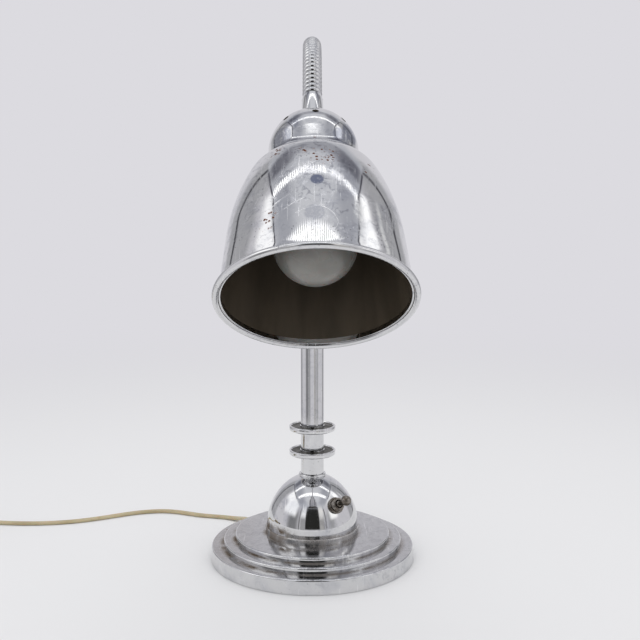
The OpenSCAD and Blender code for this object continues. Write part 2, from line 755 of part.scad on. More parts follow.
module socket_body() {
    color(ivory) at_head() difference() {
        translate([0, 0, body_z]) cylinder(r = body_r - 0.1, h = body_top - body_z);
        translate([0, 0, body_z - 1]) cylinder(r = screw_shell_r + thread_fit, h = body_top - body_floor - body_z + 1);
        for (s = [-1, 1]) translate([s * 8, 0, body_top - body_floor - 1]) cylinder(r = 1.6, h = body_floor + 2);
    }
}

module screw_shell() {
    top = body_top - body_floor;
    foot = bulb_cap_z + 1.5;
    color(brass) at_head() difference() {
        translate([0, 0, foot]) cylinder(r = screw_shell_r, h = top - foot);
        translate([0, 0, foot - 1])
            cylinder(r = screw_shell_r - screw_shell_t, h = top - screw_shell_t - foot + 1);
        translate([0, 0, top - 2]) cylinder(r = 6, h = 4);
    }
}

module centre_contact() {
    color(brass) at_head() translate([0, 0, seat_z]) cylinder(r = 3.6, h = contact_t);
}

// Two wires from the nipple to the back of the socket's body
module socket_leads() {
    color(bronze) at_head() for (s = [-1, 1])
        wire([[s * 1.25, 0, nipple_top - 1], [s * 1.25, 0, socket_top - 5],
            [s * 8, 0, body_top + 1.3], [s * 8, 0, body_top - body_floor + 1.4]], wire_r, [0, 1, 0]);
}

module bulb_glass() {
    q = [glass_neck_r, bulb_cap_z];
    c = [0, bulb_z];
    touch = atan2(q.y - c.y, q.x) - acos(bulb_r / norm(q - c));
    lip_in = bulb_cap_r - 0.7;
    sunk = 6;
    color([0.86, 0.85, 0.82]) at_head() rotate_extrude($fn = 120) polygon(concat(
        arc(c, bulb_r, -90, touch, 26),
        [q, [lip_in, bulb_cap_z], [lip_in, bulb_cap_z + sunk],
            [lip_in - glass_t, bulb_cap_z + sunk], [lip_in - glass_t, bulb_cap_z - 1]],
        arc(c, bulb_r - glass_t, touch, -90, 26)));
}

// The screw cap, with a rounded thread of even ridges
module bulb_cap() {
    ridges = 5;
    ridge = 3.6;
    depth = 0.5;
    wall = 0.35;
    steps = 8;
    thread = [for (i = [0:ridges * steps])
        [bulb_cap_r - depth / 2 + depth / 2 * sin(i * 360 / steps - 90), bulb_cap_z + 2 + i * ridge / steps]];
    top = bulb_cap_z + bulb_cap_h;
    color([0.72, 0.72, 0.73]) at_head() rotate_extrude() polygon(concat(
        [[bulb_cap_r - 0.6, bulb_cap_z], [bulb_cap_r - 0.1, bulb_cap_z]], thread,
        [[bulb_cap_r - depth, top - 4], [6, top - 1.2], [6, top - 1.6],
            [bulb_cap_r - depth - 0.6, top - 4.4], [bulb_cap_r - 0.6 - wall / 2, bulb_cap_z + 7],
            [bulb_cap_r - 0.6, bulb_cap_z + 6.2]]));
}

// Black insulator and the tip contact that bears on the socket
module bulb_insulator() {
    top = bulb_cap_z + bulb_cap_h;
    color([0.1, 0.1, 0.11]) at_head() union() {
        translate([0, 0, top - 3.2]) cylinder(r = 5.9, h = 2.4);
        translate([0, 0, top - 1]) cylinder(r1 = 5.6, r2 = 3.4, h = 1);
        translate([0, 0, top - 1]) cylinder(r = 3.3, h = seat_z - top + 1);
    }
}

// Glass stem, support wires and filament inside the bulb
module filament_mount() {
    foot = bulb_cap_z + 5.6;
    stem_top = bulb_cap_z - 12;
    wide = 9;
    fil_z = bulb_z + 8;
    color([0.8, 0.8, 0.78]) at_head() {
        translate([0, 0, bulb_cap_z - 1]) cylinder(r1 = 3, r2 = bulb_cap_r - 1.7, h = 6.6);
        translate([0, 0, stem_top]) cylinder(r = 3, h = bulb_cap_z - stem_top);
        wire([[-1.6, 0, stem_top + 2], [-wide, 0, fil_z], [0, 0, fil_z - 4], [wide, 0, fil_z],
            [1.6, 0, stem_top + 2]], 0.4, [0, 1, 0]);
    }
}

// ---- Cord and plug ----

// Flat cross-section of the cord at p, lying level across the direction a
function cord_ring(p, a, n) =
    let (tall = cord_t / 2 / (n == COIL_SIDES ? sin(60) : sin(67.5)), shift = n == COIL_SIDES ? 0 : 22.5)
    [for (i = [0:n - 1]) let (t = shift + 360 * i / n, w = cord_w / 2 / cos(shift) * cos(t))
        [p.x - w * sin(a), p.y + w * cos(a), p.z - tall * sin(t)]];

function route_angle(i) =
    let (n = len(cord_route) - 1, d = cord_route[min(i + 1, n)] - cord_route[max(i - 1, 0)])
    atan2(d.y, d.x);

// The middle of the coil, at a share t of its turns: it spirals in and out
// again layer by layer, and climbs in the half turn where it reverses
function coil_point(t) =
    let (turn = t * coil_turns, m = floor(turn / layer_turns), f = turn / layer_turns - m,
        r = coil_in_r + coil_pitch * layer_turns * (m % 2 == 0 ? 1 - f : f),
        a = 90 + turn * 360, up = coil_climb(turn))
    [coil_c.x + r * cos(a), coil_c.y + r * sin(a), coil_z + layer_pitch * up];

// Layers climbed after so many turns
function coil_climb(turn) =
    let (c = [for (k = [1:COIL_LAYERS - 1])
        let (f = min(max((turn - k * layer_turns) * 2 + 0.5, 0), 1)) f * f * (3 - 2 * f)])
    c * [for (k = c) 1];

function coil_path() = let (n = round(coil_turns * COIL_STEPS)) [for (i = [0:n]) coil_point(min(i / n, 0.999999))];

// The straight tail from the top layer down towards the plug
function tail_path() = [for (i = [1:4]) let (f = i / 4)
    [tail_x, coil_c.y - tail_len * f, tail_z - tail_sag * f - 2 * sin(180 * f)]];

function path_angle(p, i) =
    let (d = p[min(i + 1, len(p) - 1)] - p[max(i - 1, 0)]) atan2(d.y, d.x);

// Least room between two turns that lie more than half a turn apart, with the
// flat cord's section taken as an oval
function least_gap(p) = min([for (i = [0:len(p) - 1], j = [i + 14:1:len(p) - 1])
    let (d = p[j] - p[i]) norm(d) * (1 - 1 / norm([norm([d.x, d.y]) / cord_w, d.z / cord_t]))]);

module cord_run() {
    color(cord_gold) skin([for (i = [0:len(cord_route) - 1])
        cord_ring(cord_route[i], route_angle(i), RUN_SIDES)]);
}

module cord_coil() {
    path = concat(coil_path(), tail_path());
    echo(least_gap_in_coil = least_gap(coil_path()));
    color(cord_gold) skin([for (i = [0:len(path) - 1])
        cord_ring(path[i], i == 0 ? 180 : i > len(path) - 5 ? -90 : path_angle(path, i), COIL_SIDES)]);
}

// A strip round the bundle of turns
module cord_tie() {
    in_r = coil_in_r - cord_w / 2 - 0.3;
    wide = coil_out_r + cord_w / 2 + 0.3 - in_r;
    high = tail_z + cord_t / 2 + 0.3;
    color(bronze) translate([coil_c.x, coil_c.y, 0]) rotate([0, 0, tie_turn]) difference() {
        translate([in_r - tie_t, -tie_w / 2, 0]) cube([wide + 2 * tie_t, tie_w, high + tie_t]);
        translate([in_r, -tie_w / 2 - 1, tie_t]) cube([wide, tie_w + 2, high - tie_t]);
    }
}

module plug_body() {
    end_r = plug_size.z / 2;
    color([0.36, 0.22, 0.12]) translate([tail_x, plug_y, end_r]) rotate([90, 0, 0]) union() {
        translate([0, 0, plug_relief]) linear_extrude(plug_size.y - plug_relief) {
            square([plug_size.x - 2 * end_r, plug_size.z], center = true);
            for (s = [-1, 1]) translate([s * (plug_size.x / 2 - end_r), 0]) circle(r = end_r);
        }
        cylinder(r1 = cord_w / 2 + 0.8, r2 = end_r, h = plug_relief + eps);
    }
}

module plug_blades() {
    color(brass) for (s = [-1, 1])
        translate([tail_x + s * blade_gap / 2 - plug_blade.x / 2,
            plug_y - plug_size.y - plug_blade.y, plug_size.z / 2 - plug_blade.z / 2])
            difference() {
                cube(plug_blade);
                translate([-1, 3.2, plug_blade.z / 2]) rotate([0, 90, 0]) cylinder(r = 1.6, h = plug_blade.x + 2, $fn = 32);
            }
}

base_felt();
base_weight();
base_shell();
base_nut();
base_washer();
lamp_pipe();
dome();
dome_band();
neck_ring();
lower_spacer();
lower_disc();
upper_spacer();
upper_disc();
stem_tube();
stem_ferrule();
cord_bushing();
cord_inner();
switch_body();
switch_bushing();
switch_washer();
switch_nut();
switch_terminals();
switch_leads();
switch_lever();
neck_link_1();
neck_link_2();
neck_link_3();
neck_link_4();
neck_link_5();
neck_link_6();
neck_link_7();
neck_link_8();
neck_link_9();
neck_link_10();
neck_collar();
shade_nipple();
shade_locknut();
shade();
socket_cap();
socket_shell();
socket_body();
screw_shell();
centre_contact();
socket_leads();
bulb_glass();
bulb_cap();
bulb_insulator();
filament_mount();
cord_run();
cord_coil();
cord_tie();
plug_body();
plug_blades();
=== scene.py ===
"""Gooseneck desk lamp, dressed for a studio picture.

Lengths are in millimetres in the tables below and become metres when a piece is made.
The stem stands on the Z axis, the arm reaches towards -Y and the table is at z = 0.
"""
import json
import math

import bpy
from mathutils import Matrix, Vector


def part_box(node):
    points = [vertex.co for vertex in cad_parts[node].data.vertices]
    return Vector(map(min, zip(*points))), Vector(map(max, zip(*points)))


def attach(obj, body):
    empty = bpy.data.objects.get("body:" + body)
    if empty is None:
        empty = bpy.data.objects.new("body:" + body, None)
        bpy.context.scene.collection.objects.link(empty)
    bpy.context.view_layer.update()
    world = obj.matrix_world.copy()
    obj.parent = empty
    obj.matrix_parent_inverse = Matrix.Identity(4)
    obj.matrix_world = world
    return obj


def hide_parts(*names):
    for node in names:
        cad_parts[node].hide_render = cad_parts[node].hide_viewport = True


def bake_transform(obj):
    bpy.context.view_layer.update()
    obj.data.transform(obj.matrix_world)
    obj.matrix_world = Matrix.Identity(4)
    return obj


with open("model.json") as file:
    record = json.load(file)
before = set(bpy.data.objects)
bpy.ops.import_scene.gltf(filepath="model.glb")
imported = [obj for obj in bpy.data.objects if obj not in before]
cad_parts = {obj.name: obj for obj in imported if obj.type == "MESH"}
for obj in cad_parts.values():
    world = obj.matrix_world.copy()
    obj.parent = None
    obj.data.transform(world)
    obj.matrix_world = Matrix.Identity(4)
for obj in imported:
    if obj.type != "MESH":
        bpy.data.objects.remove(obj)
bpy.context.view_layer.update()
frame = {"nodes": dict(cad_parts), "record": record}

MM = 0.001


def cos(degrees):
    return math.cos(math.radians(degrees))


def sin(degrees):
    return math.sin(math.radians(degrees))


def show(thing):
    bpy.context.scene.collection.objects.link(thing)


def turn_about(axis, degrees):
    return Matrix.Rotation(math.radians(degrees), 4, axis)


def shift(x, y, z):
    """A move, in millimetres."""
    return Matrix.Translation((x * MM, y * MM, z * MM))


# -------- camera

PICTURE_WIDTH = 640
FOCAL_LENGTH = 890  # in pixels of that width
SENSOR_WIDTH = 36
CAMERA_TILT = 6.23  # degrees below the horizon

camera_data = bpy.data.cameras.new("studio_camera")
camera_data.sensor_width = SENSOR_WIDTH
camera_data.lens = FOCAL_LENGTH / PICTURE_WIDTH * SENSOR_WIDTH
camera_data.clip_end = 60
camera = bpy.data.objects.new("studio_camera", camera_data)
camera.location = (0.0062, -0.7035, 0.2695)
camera.rotation_euler = (math.radians(90 - CAMERA_TILT), 0, 0)
show(camera)
bpy.context.scene.camera = camera
bpy.context.scene.view_settings.view_transform = "Standard"


# -------- sizes of the lamp

PIPE_HOLE_R = 5.2
BASE_TOP = 20.6
BASE_FOOT = 0.3
DOME_R = 36.8
DOME_Z = 27.0
DOME_POINT = 6.0
DOME_CURVE = DOME_R + DOME_POINT
DOME_FLAT_R = 10.8
DOME_TOP = DOME_Z + math.sqrt(DOME_CURVE ** 2 - (DOME_FLAT_R + DOME_POINT) ** 2)
RING_TOP = DOME_TOP + 2.4
DISC_H = 4
SPACER_1_LEN = 15.2
SPACER_2_LEN = 15.8
TUBE_LEN = 107.2
DISC_1 = RING_TOP + SPACER_1_LEN
SPACER_2 = DISC_1 + DISC_H
DISC_2 = SPACER_2 + SPACER_2_LEN
TUBE = DISC_2 + DISC_H
FERRULE = TUBE + TUBE_LEN
NECK = FERRULE + 7
STEM_R = 9.25

ARM_YAW = 0.6
HEAD_TURN = 1.4
NECK_RISE = 107.7
NECK_BEND_R = 62.0
NECK_BEND = 145.34
NECK_TAIL = 18.6
NECK_ARC = NECK_BEND_R * math.radians(NECK_BEND)
NECK_LEN = NECK_RISE + NECK_ARC + NECK_TAIL
LINKS = 10
LINK = NECK_LEN / LINKS
NECK_R = 6.35
GROOVE_R = 5.7


def neck_point(s):
    """Middle of the gooseneck, s along it: out along the arm, and height."""
    a = min(max(s - NECK_RISE, 0) / NECK_ARC, 1) * NECK_BEND
    past = max(s - NECK_RISE - NECK_ARC, 0)
    return (
        NECK_BEND_R * (1 - cos(a)) + past * sin(a),
        NECK + min(s, NECK_RISE) + NECK_BEND_R * sin(a) + past * cos(a),
    )


def on_neck(s):
    """The same point in the lamp's own frame, in metres."""
    out, z = neck_point(s)
    return Vector((out * sin(ARM_YAW), -out * cos(ARM_YAW), z)) * MM


# The shade's own frame: z runs up its axis from the plane of its rim
SHEET = 0.9
CAP_R = 27.7
CAP_Z = 103.301
CAP_TOP = CAP_Z + CAP_R
HEAD_LEN = CAP_TOP + 18.6
DROP = 180 - NECK_BEND
neck_end = neck_point(NECK_LEN)
HEAD = (
    turn_about("Z", ARM_YAW) @ shift(0, -neck_end[0], neck_end[1]) @ turn_about("Z", HEAD_TURN)
    @ turn_about("X", -DROP) @ shift(0, 0, -HEAD_LEN)
)

SWITCH_TURN = 36
SWITCH_SLOPE = 30.5
LEVER_THROW = 7
LEVER_LEN = 12.5
LEVER_SEAT = 1.5
SWITCH = (
    shift(0, 0, DOME_Z) @ turn_about("Z", SWITCH_TURN - 90) @ shift(-DOME_POINT, 0, 0)
    @ turn_about("Y", 90 - SWITCH_SLOPE)
)
LEVER = SWITCH @ shift(0, 0, DOME_CURVE + LEVER_SEAT) @ turn_about("X", -LEVER_THROW)
CORD_TURN = 40
WALL_LEAN = 0.9 / 9.7
OUTLET_Z = 5.5
OUTLET = (
    turn_about("Z", CORD_TURN) @ shift(0, 82.5 - WALL_LEAN * (OUTLET_Z - BASE_FOOT), OUTLET_Z)
    @ Matrix.Rotation(math.atan(WALL_LEAN) - math.pi / 2, 4, "X")
)


# -------- making finishes


class Nodes:
    """Short names for the shader nodes of a material or a world."""

    def __init__(self, owner, output):
        owner.use_nodes = True
        self.tree = owner.node_tree
        self.tree.nodes.clear()
        self.surface = self.node(output).inputs["Surface"]

    def plug(self, value, socket):
        if isinstance(value, bpy.types.NodeSocket):
            self.tree.links.new(value, socket)
        elif socket.type == "RGBA":
            socket.default_value = (*value, 1)
        else:
            socket.default_value = value

    def node(self, kind, inputs=None, **settings):
        node = self.tree.nodes.new(kind)
        for name, value in settings.items():
            setattr(node, name, value)
        for name, value in (inputs or {}).items():
            self.plug(value, node.inputs[name])
        return node

    def sum(self, operation, *values, clamp=False):
        node = self.node("ShaderNodeMath", dict(enumerate(values)), operation=operation, use_clamp=clamp)
        return node.outputs[0]

    def fold(self, operation, values):
        total = values[0]
        for value in values[1:]:
            total = self.sum(operation, total, value)
        return total

    def plus(self, *values):
        return self.fold("ADD", values)

    def times(self, *values):
        return self.fold("MULTIPLY", values)

    def largest(self, *values):
        return self.fold("MAXIMUM", values)

    def band(self, value, low, high, out_low=0.0, out_high=1.0):
        """A smooth step between two outputs, while the value goes from low to high."""
        inputs = {"Value": value, "From Min": low, "From Max": high, "To Min": out_low, "To Max": out_high}
        return self.node("ShaderNodeMapRange", inputs, interpolation_type="SMOOTHSTEP").outputs[0]

    def within(self, value, low, high, soft):
        """1 between two values, falling to 0 past them."""
        away = self.sum("ABSOLUTE", self.sum("SUBTRACT", value, (low + high) / 2))
        half = (high - low) / 2
        return self.band(away, half - soft, half + soft, 1, 0)

    def mix(self, share, first, second):
        return self.node("ShaderNodeMix", {0: share, 6: first, 7: second}, data_type="RGBA").outputs[2]

    def axes(self, at):
        return self.node("ShaderNodeSeparateXYZ", {0: at}).outputs


SHADER_INPUTS = {
    "color": "Base Color", "metal": "Metallic", "rough": "Roughness", "normal": "Normal",
    "coat": "Coat Weight", "coat_rough": "Coat Roughness", "sheen": "Sheen Weight",
    "under": "Subsurface Weight", "under_scale": "Subsurface Scale", "specular": "Specular IOR Level",
}


class Finish(Nodes):
    """A procedural material on the piece's own coordinates."""

    def __init__(self, name):
        self.material = bpy.data.materials.new(name)
        super().__init__(self.material, "ShaderNodeOutputMaterial")
        self.shader = self.node("ShaderNodeBsdfPrincipled")
        self.plug(self.shader.outputs[0], self.surface)
        self.where = self.node("ShaderNodeTexCoord").outputs["Object"]
        self.x, self.y, self.z = self.axes(self.where)

    def mapping(self, start, place, turn, scale=(1, 1, 1)):
        inputs = {"Vector": start, "Location": place, "Rotation": turn, "Scale": scale}
        return self.node("ShaderNodeMapping", inputs).outputs[0]

    def mapped(self, matrix=None, scale=(1, 1, 1), turn=(0, 0, 0), place=(0, 0, 0)):
        """Object coordinates, first taken back through a piece's own placing."""
        start = self.where
        if matrix is not None:
            back = matrix.inverted()
            start = self.mapping(start, back.to_translation(), back.to_euler())
        return self.mapping(start, place, turn, scale)

    def noise(self, scale, detail=4.0, rough=0.55, warp=0.0, at=None):
        inputs = {"Vector": at or self.where, "Scale": scale, "Detail": detail, "Roughness": rough,
                  "Distortion": warp}
        return self.node("ShaderNodeTexNoise", inputs).outputs["Fac"]

    def patches(self, low, high, *noise, at=None):
        """0 where the noise is below low, 1 where it is above high."""
        return self.band(self.noise(*noise, at=at), low, high)

    def specks(self, scale, low, high):
        """Scattered spots, from the distance to the nearest of many points."""
        node = self.node("ShaderNodeTexVoronoi", {"Vector": self.where, "Scale": scale})
        return self.band(node.outputs["Distance"], low, high)

    def radius(self):
        return self.sum("SQRT", self.plus(self.times(self.x, self.x), self.times(self.y, self.y)))

    def near(self, at, place, core, reach):
        """1 within the core round a place, falling to 0 at the reach, all in millimetres."""
        node = self.node("ShaderNodeVectorMath", {0: at, 1: Vector(place) * MM}, operation="DISTANCE")
        return self.band(node.outputs["Value"], reach * MM, core * MM)

    def bump(self, height, distance, strength, under=None):
        inputs = {"Height": height, "Distance": distance, "Strength": strength}
        if under is not None:
            inputs["Normal"] = under
        return self.node("ShaderNodeBump", inputs).outputs[0]

    def give(self, **values):
        for key, value in values.items():
            self.plug(value, self.shader.inputs[SHADER_INPUTS[key]])
        return self.material


def scratches(look, count=4, fine=1.0, low=0.69, high=0.74):
    """Sparse hairlines in several directions, from 0 to 1."""
    lines = []
    for i in range(count):
        turn = (0.7 + 0.9 * i, 0.5 + 1.3 * i, 0.6 + 1.1 * i)
        along = look.mapped(scale=(900 * fine, 42, 42), turn=turn, place=(i, 0, 0))
        hair = look.patches(low, high, 1.0, 1.0, 0.3, 0.2, at=along)
        patch = look.patches(0.48, 0.60, 30.0, 1.0, 0.5, 0.0, at=look.mapped(place=(3.0 * i, 1.7, 0)))
        lines.append(look.times(hair, patch))
    return look.largest(*lines)


def chrome_plate(name, tone=0.70, dull=0.03, smear=0.07, grime=None, rust=None, spots_and_reflections=None, cuts=None,
                 wear=0.5, hairs=0.5):
    """Aged chrome: smeared, mottled, pitted and scratched, with the dirt, rust, dark spots and cuts given; on
    the shade's cap those dark spots are painted reflections.
    """
    look = Finish(name)
    cloud = look.noise(38.0, 5.0, 0.62, 0.6)
    fine = look.noise(260.0, 3.0, 0.6)
    mottle = look.times(look.patches(0.50, 0.64, 210.0, 5.0, 0.68, 0.9),
                          look.patches(0.40, 0.60, 19.0, 3.0))
    bloom = look.times(look.patches(0.54, 0.66, 130.0, 5.0, 0.7, 1.4),
                         look.patches(0.44, 0.60, 23.0, 2.0, at=look.mapped(place=(5, 2, 1))))
    hair = scratches(look)
    rub = scratches(look, 2, 0.24, 0.60, 0.72)
    if cuts is not None:
        hair = look.largest(hair, cuts(look))
    pits = look.times(look.specks(430.0, 0.17, 0.08), look.patches(0.50, 0.60, 62.0, 2.0))
    patch = look.band(cloud, 0.44, 0.70)
    rough = look.plus(dull, look.times(patch, smear), look.times(hair, 0.10), look.times(fine, 0.02),
                        look.times(look.largest(bloom, rub), 0.16 * wear))
    color = look.mix(look.times(patch, min(wear * 2, 1)), (tone, tone, tone * 1.005),
                       (tone * 0.80, tone * 0.81, tone * 0.85))
    color = look.mix(look.times(mottle, 0.9 * wear), color, (tone * 0.42, tone * 0.43, tone * 0.48))
    color = look.mix(look.times(bloom, 0.6 * wear), color, (0.88, 0.88, 0.90))
    color = look.mix(look.times(hair, 0.45), color, (0.92, 0.92, 0.92))
    color = look.mix(look.times(pits, 0.8), color, (0.06, 0.05, 0.05))
    # Dark blue-grey spots; on the shade's cap these are painted reflections.
    if spots_and_reflections is not None:
        color = look.mix(spots_and_reflections(look), color, (0.17, 0.19, 0.27))
    metal = 1.0
    if grime is not None:
        dirt = grime(look)
        color = look.mix(dirt, color, (0.11, 0.075, 0.045))
        rough = look.sum("ADD", rough, look.times(dirt, 0.4), clamp=True)
        metal = look.band(dirt, 0.0, 1.0, 1.0, 0.35)
    if rust is not None:
        spots = rust(look)
        color = look.mix(spots, color, (0.17, 0.055, 0.022))
        rough = look.sum("ADD", rough, look.times(spots, 0.5), clamp=True)
    wave = look.bump(look.noise(24.0, 2.0, 0.5), 0.001, 0.06)
    peel = look.bump(look.noise(150.0, 2.0, 0.5), 0.00005, 0.25 * wear, under=wave)
    line = look.bump(hair, 0.00002, hairs, under=peel)
    return look.give(color=color, metal=metal, rough=rough, normal=line)


def clouded(name, tones, cloud, edges, rough, grain, grit, **looks):
    """A finish that drifts between two tones and two roughnesses, with a fine grain."""
    look = Finish(name)
    drift = look.noise(*cloud)
    color = look.mix(look.band(drift, *edges), *tones)
    if isinstance(rough, tuple):
        rough = look.band(drift, *rough)
    normal = look.bump(look.noise(*grain), *grit)
    return look.give(color=color, rough=rough, normal=normal, **looks)


def plain_metal(name, light, dark, rough=0.3, scale=90.0):
    return clouded(name, (light, dark), (scale, 5.0, 0.6, 0.4), (0.35, 0.7), (0.3, 0.75, rough, rough + 0.22),
                   (scale * 9, 2.0), (0.00004, 0.5), metal=1.0)


def moulded(name, light, dark, rough=0.35):
    return clouded(name, (light, dark), (70.0, 4.0, 0.6, 0.5), (0.35, 0.7), (0.3, 0.7, rough, rough + 0.15),
                   (900.0, 2.0), (0.00003, 0.4))


# -------- finishes of this lamp


def tier_grime(look):
    """Dirt in the steps of the base, thicker at its left, and round the dome's foot."""
    r = look.radius()
    steps = look.largest(
        look.times(look.band(r, 0.0672, 0.0626), look.band(look.z, 0.0176, 0.0164)),
        look.times(look.band(r, 0.0768, 0.0719), look.band(look.z, 0.0126, 0.0113)),
        look.times(look.band(r, 0.0425, 0.0375), 0.9))
    left = look.band(look.x, 0.03, -0.06, 0.5, 1.0)
    return look.times(steps, left, look.patches(0.36, 0.58, 48.0, 6.0, 0.65, 0.8))


def dome_grime(look):
    """Dirt low on the left of the dome, and a little all round its foot."""
    foot = look.band(look.z, 0.0285, 0.0262, 0.0, 0.55)
    left = look.times(look.band(look.z, 0.034, 0.028), look.band(look.x, -0.008, -0.026))
    return look.times(look.largest(left, foot), look.patches(0.38, 0.56, 120.0, 5.0, 0.65, 0.8))


def tier_rust(look):
    """Rust spots on the left of the base."""
    return look.times(look.specks(170.0, 0.16, 0.05), look.patches(0.55, 0.66, 26.0, 3.0),
                        look.band(look.x, -0.02, -0.06))


# Marks on the shade, in its own frame: the middle of each, its reach and, for the dark spots and painted
# reflections, their strength
RUST_SPOTS = [((4, -45, 67), 11), ((-8, -42.6, 72), 5), ((0, -28, 93), 5), ((-22, -35, 76), 6),
              ((30, -33, 68.6), 4), ((27.4, -39.2, 58), 5), ((-26.5, -46, 22), 8)]
# The first two are dark bluish spots on the shade's front; the four high on the cap are dark patches of painted
# reflection.
DARK_SPOTS_AND_PAINTED_REFLECTIONS = [((-0.2, -50.5, 45.6), 4.0, 0.95), ((-2, -53, 22.5), 6.0, 0.28), ((22, -17, 105), 8, 0.7),
              ((16, -22.5, 98), 7, 0.6), ((-20, -19.5, 99), 9, 0.6), ((-14, -23, 106), 6, 0.35)]
# Scratches as parts of circles: centre, radius, width, then the middle and reach of where they show
LONG_CUTS = [((-2.1, -52.5, 14.8), 12.7, 0.22, (5.5, -52.5, 23), 10),
             ((12.8, -52, -31.4), 60, 0.16, (-4.6, -52, 26), 9),
             ((3.4, -48, 0.9), 40.3, 0.75, (-19.5, -48, 34), 6.5),
             ((9, -50, -8), 44, 0.25, (-13, -51, 30), 8)]


def shade_rust(look):
    """Small rust spots below the cap and here and there on the front."""
    at = look.mapped(HEAD)
    zone = look.largest(*[look.near(at, place, reach * 0.5, reach) for place, reach in RUST_SPOTS])
    return look.times(look.specks(400.0, 0.42, 0.24), zone, look.patches(0.38, 0.50, 300.0, 2.0))


def shade_spots_and_painted_reflections(look):
    """Dark bluish spots on the front of the shade, and dark patches of painted reflection on its cap."""
    at = look.mapped(HEAD)
    blot = look.patches(0.28, 0.50, 420.0, 4.0, 0.7, 1.0)
    return look.largest(*[look.times(look.near(at, place, reach * 0.78, reach), blot, share)
                            for place, reach, share in DARK_SPOTS_AND_PAINTED_REFLECTIONS])


def shade_cuts(look):
    """The few long scratches on the front of the shade."""
    at = look.mapped(HEAD)
    lines = []
    for centre, radius, width, place, reach in LONG_CUTS:
        inner, outer = radius - width / 2, radius + width / 2
        hole = look.near(at, centre, inner - width, inner)
        ring = look.times(look.near(at, centre, inner, outer), look.sum("SUBTRACT", 1.0, hole))
        lines.append(look.times(ring, look.near(at, place, reach * 0.7, reach)))
    return look.largest(*lines)


def brushed_top():
    """The flat tops of the tiers: chrome with fine scuffs round the stem, pits and brown dirt."""
    look = Finish("scuffed_chrome")
    round_stem = look.sum("ARCTAN2", look.y, look.x)
    ring = look.node("ShaderNodeCombineXYZ", {0: look.times(look.radius(), 1500.0),
                                                1: look.times(round_stem, 1.6)})
    arcs = look.noise(1.0, 3.0, 0.6, 0.3, at=ring.outputs[0])
    cloud = look.noise(150.0, 6.0, 0.7, 1.0)
    worm = look.noise(520.0, 4.0, 0.65, 1.5)
    dirt = tier_grime(look)
    color = look.mix(look.band(cloud, 0.40, 0.66), (0.55, 0.55, 0.56), (0.45, 0.45, 0.465))
    color = look.mix(look.times(look.band(worm, 0.54, 0.62), 0.45), color, (0.34, 0.33, 0.31))
    color = look.mix(look.times(scratches(look), 0.5), color, (0.80, 0.80, 0.80))
    color = look.mix(look.band(look.x, -0.03, -0.075, 0.0, 0.22), color, (0.30, 0.24, 0.18))
    color = look.mix(dirt, color, (0.13, 0.09, 0.055))
    color = look.mix(tier_rust(look), color, (0.19, 0.06, 0.025))
    rough = look.plus(look.band(cloud, 0.3, 0.7, 0.07, 0.17), look.times(dirt, 0.4))
    normal = look.bump(worm, 0.00002, 0.5, under=look.bump(arcs, 0.00002, 0.4))
    return look.give(color=color, metal=look.band(dirt, 0, 1, 1, 0.4), rough=rough, normal=normal)


def dark_lacquer():
    """Inside of the shade: old dark brown lacquer, a little streaked."""
    look = Finish("dark_lacquer")
    streak = look.noise(1.0, 4.0, 0.6, 0.3, at=look.mapped(HEAD, scale=(60, 60, 9)))
    color = look.mix(look.band(streak, 0.3, 0.7), (0.050, 0.040, 0.028), (0.078, 0.062, 0.044))
    rough = look.band(look.noise(60.0, 4.0), 0.3, 0.7, 0.34, 0.48)
    return look.give(color=color, rough=rough, normal=look.bump(streak, 0.00008, 0.4), specular=0.45)


def aged_vinyl():
    """Clear-gold cord insulation, its tone drifting along the cord."""
    look = Finish("gold_vinyl")
    fine = look.noise(240.0, 3.0)
    color = look.mix(look.patches(0.35, 0.68, 28.0, 3.0), (0.50, 0.43, 0.27), (0.39, 0.32, 0.18))
    color = look.mix(look.band(fine, 0.56, 0.75, 0.0, 0.3), color, (0.20, 0.15, 0.07))
    return look.give(color=color, rough=look.band(fine, 0.3, 0.7, 0.28, 0.42),
                       normal=look.bump(fine, 0.00004, 0.5), under=0.25, under_scale=0.002,
                       coat=0.3, coat_rough=0.2)


CHROME = chrome_plate("chrome_plate", tone=0.72, wear=0.25, hairs=0.3)
DOME_CHROME = chrome_plate("dome_chrome", grime=dome_grime)
NECK_CHROME = chrome_plate("gooseneck_chrome", tone=0.66, dull=0.08, smear=0.10, wear=0.3)
SHADE_CHROME = chrome_plate("shade_chrome", tone=0.71, rust=shade_rust, spots_and_reflections=shade_spots_and_painted_reflections, cuts=shade_cuts,
                            wear=0.75, hairs=0.7)
RIM_CHROME = chrome_plate("rim_chrome", tone=0.72, dull=0.14, smear=0.08, wear=0.3)
TIER_CHROME = chrome_plate("tier_chrome", tone=0.68, dull=0.04, smear=0.05, grime=tier_grime, rust=tier_rust,
                           wear=0.4)
SCUFFED = brushed_top()
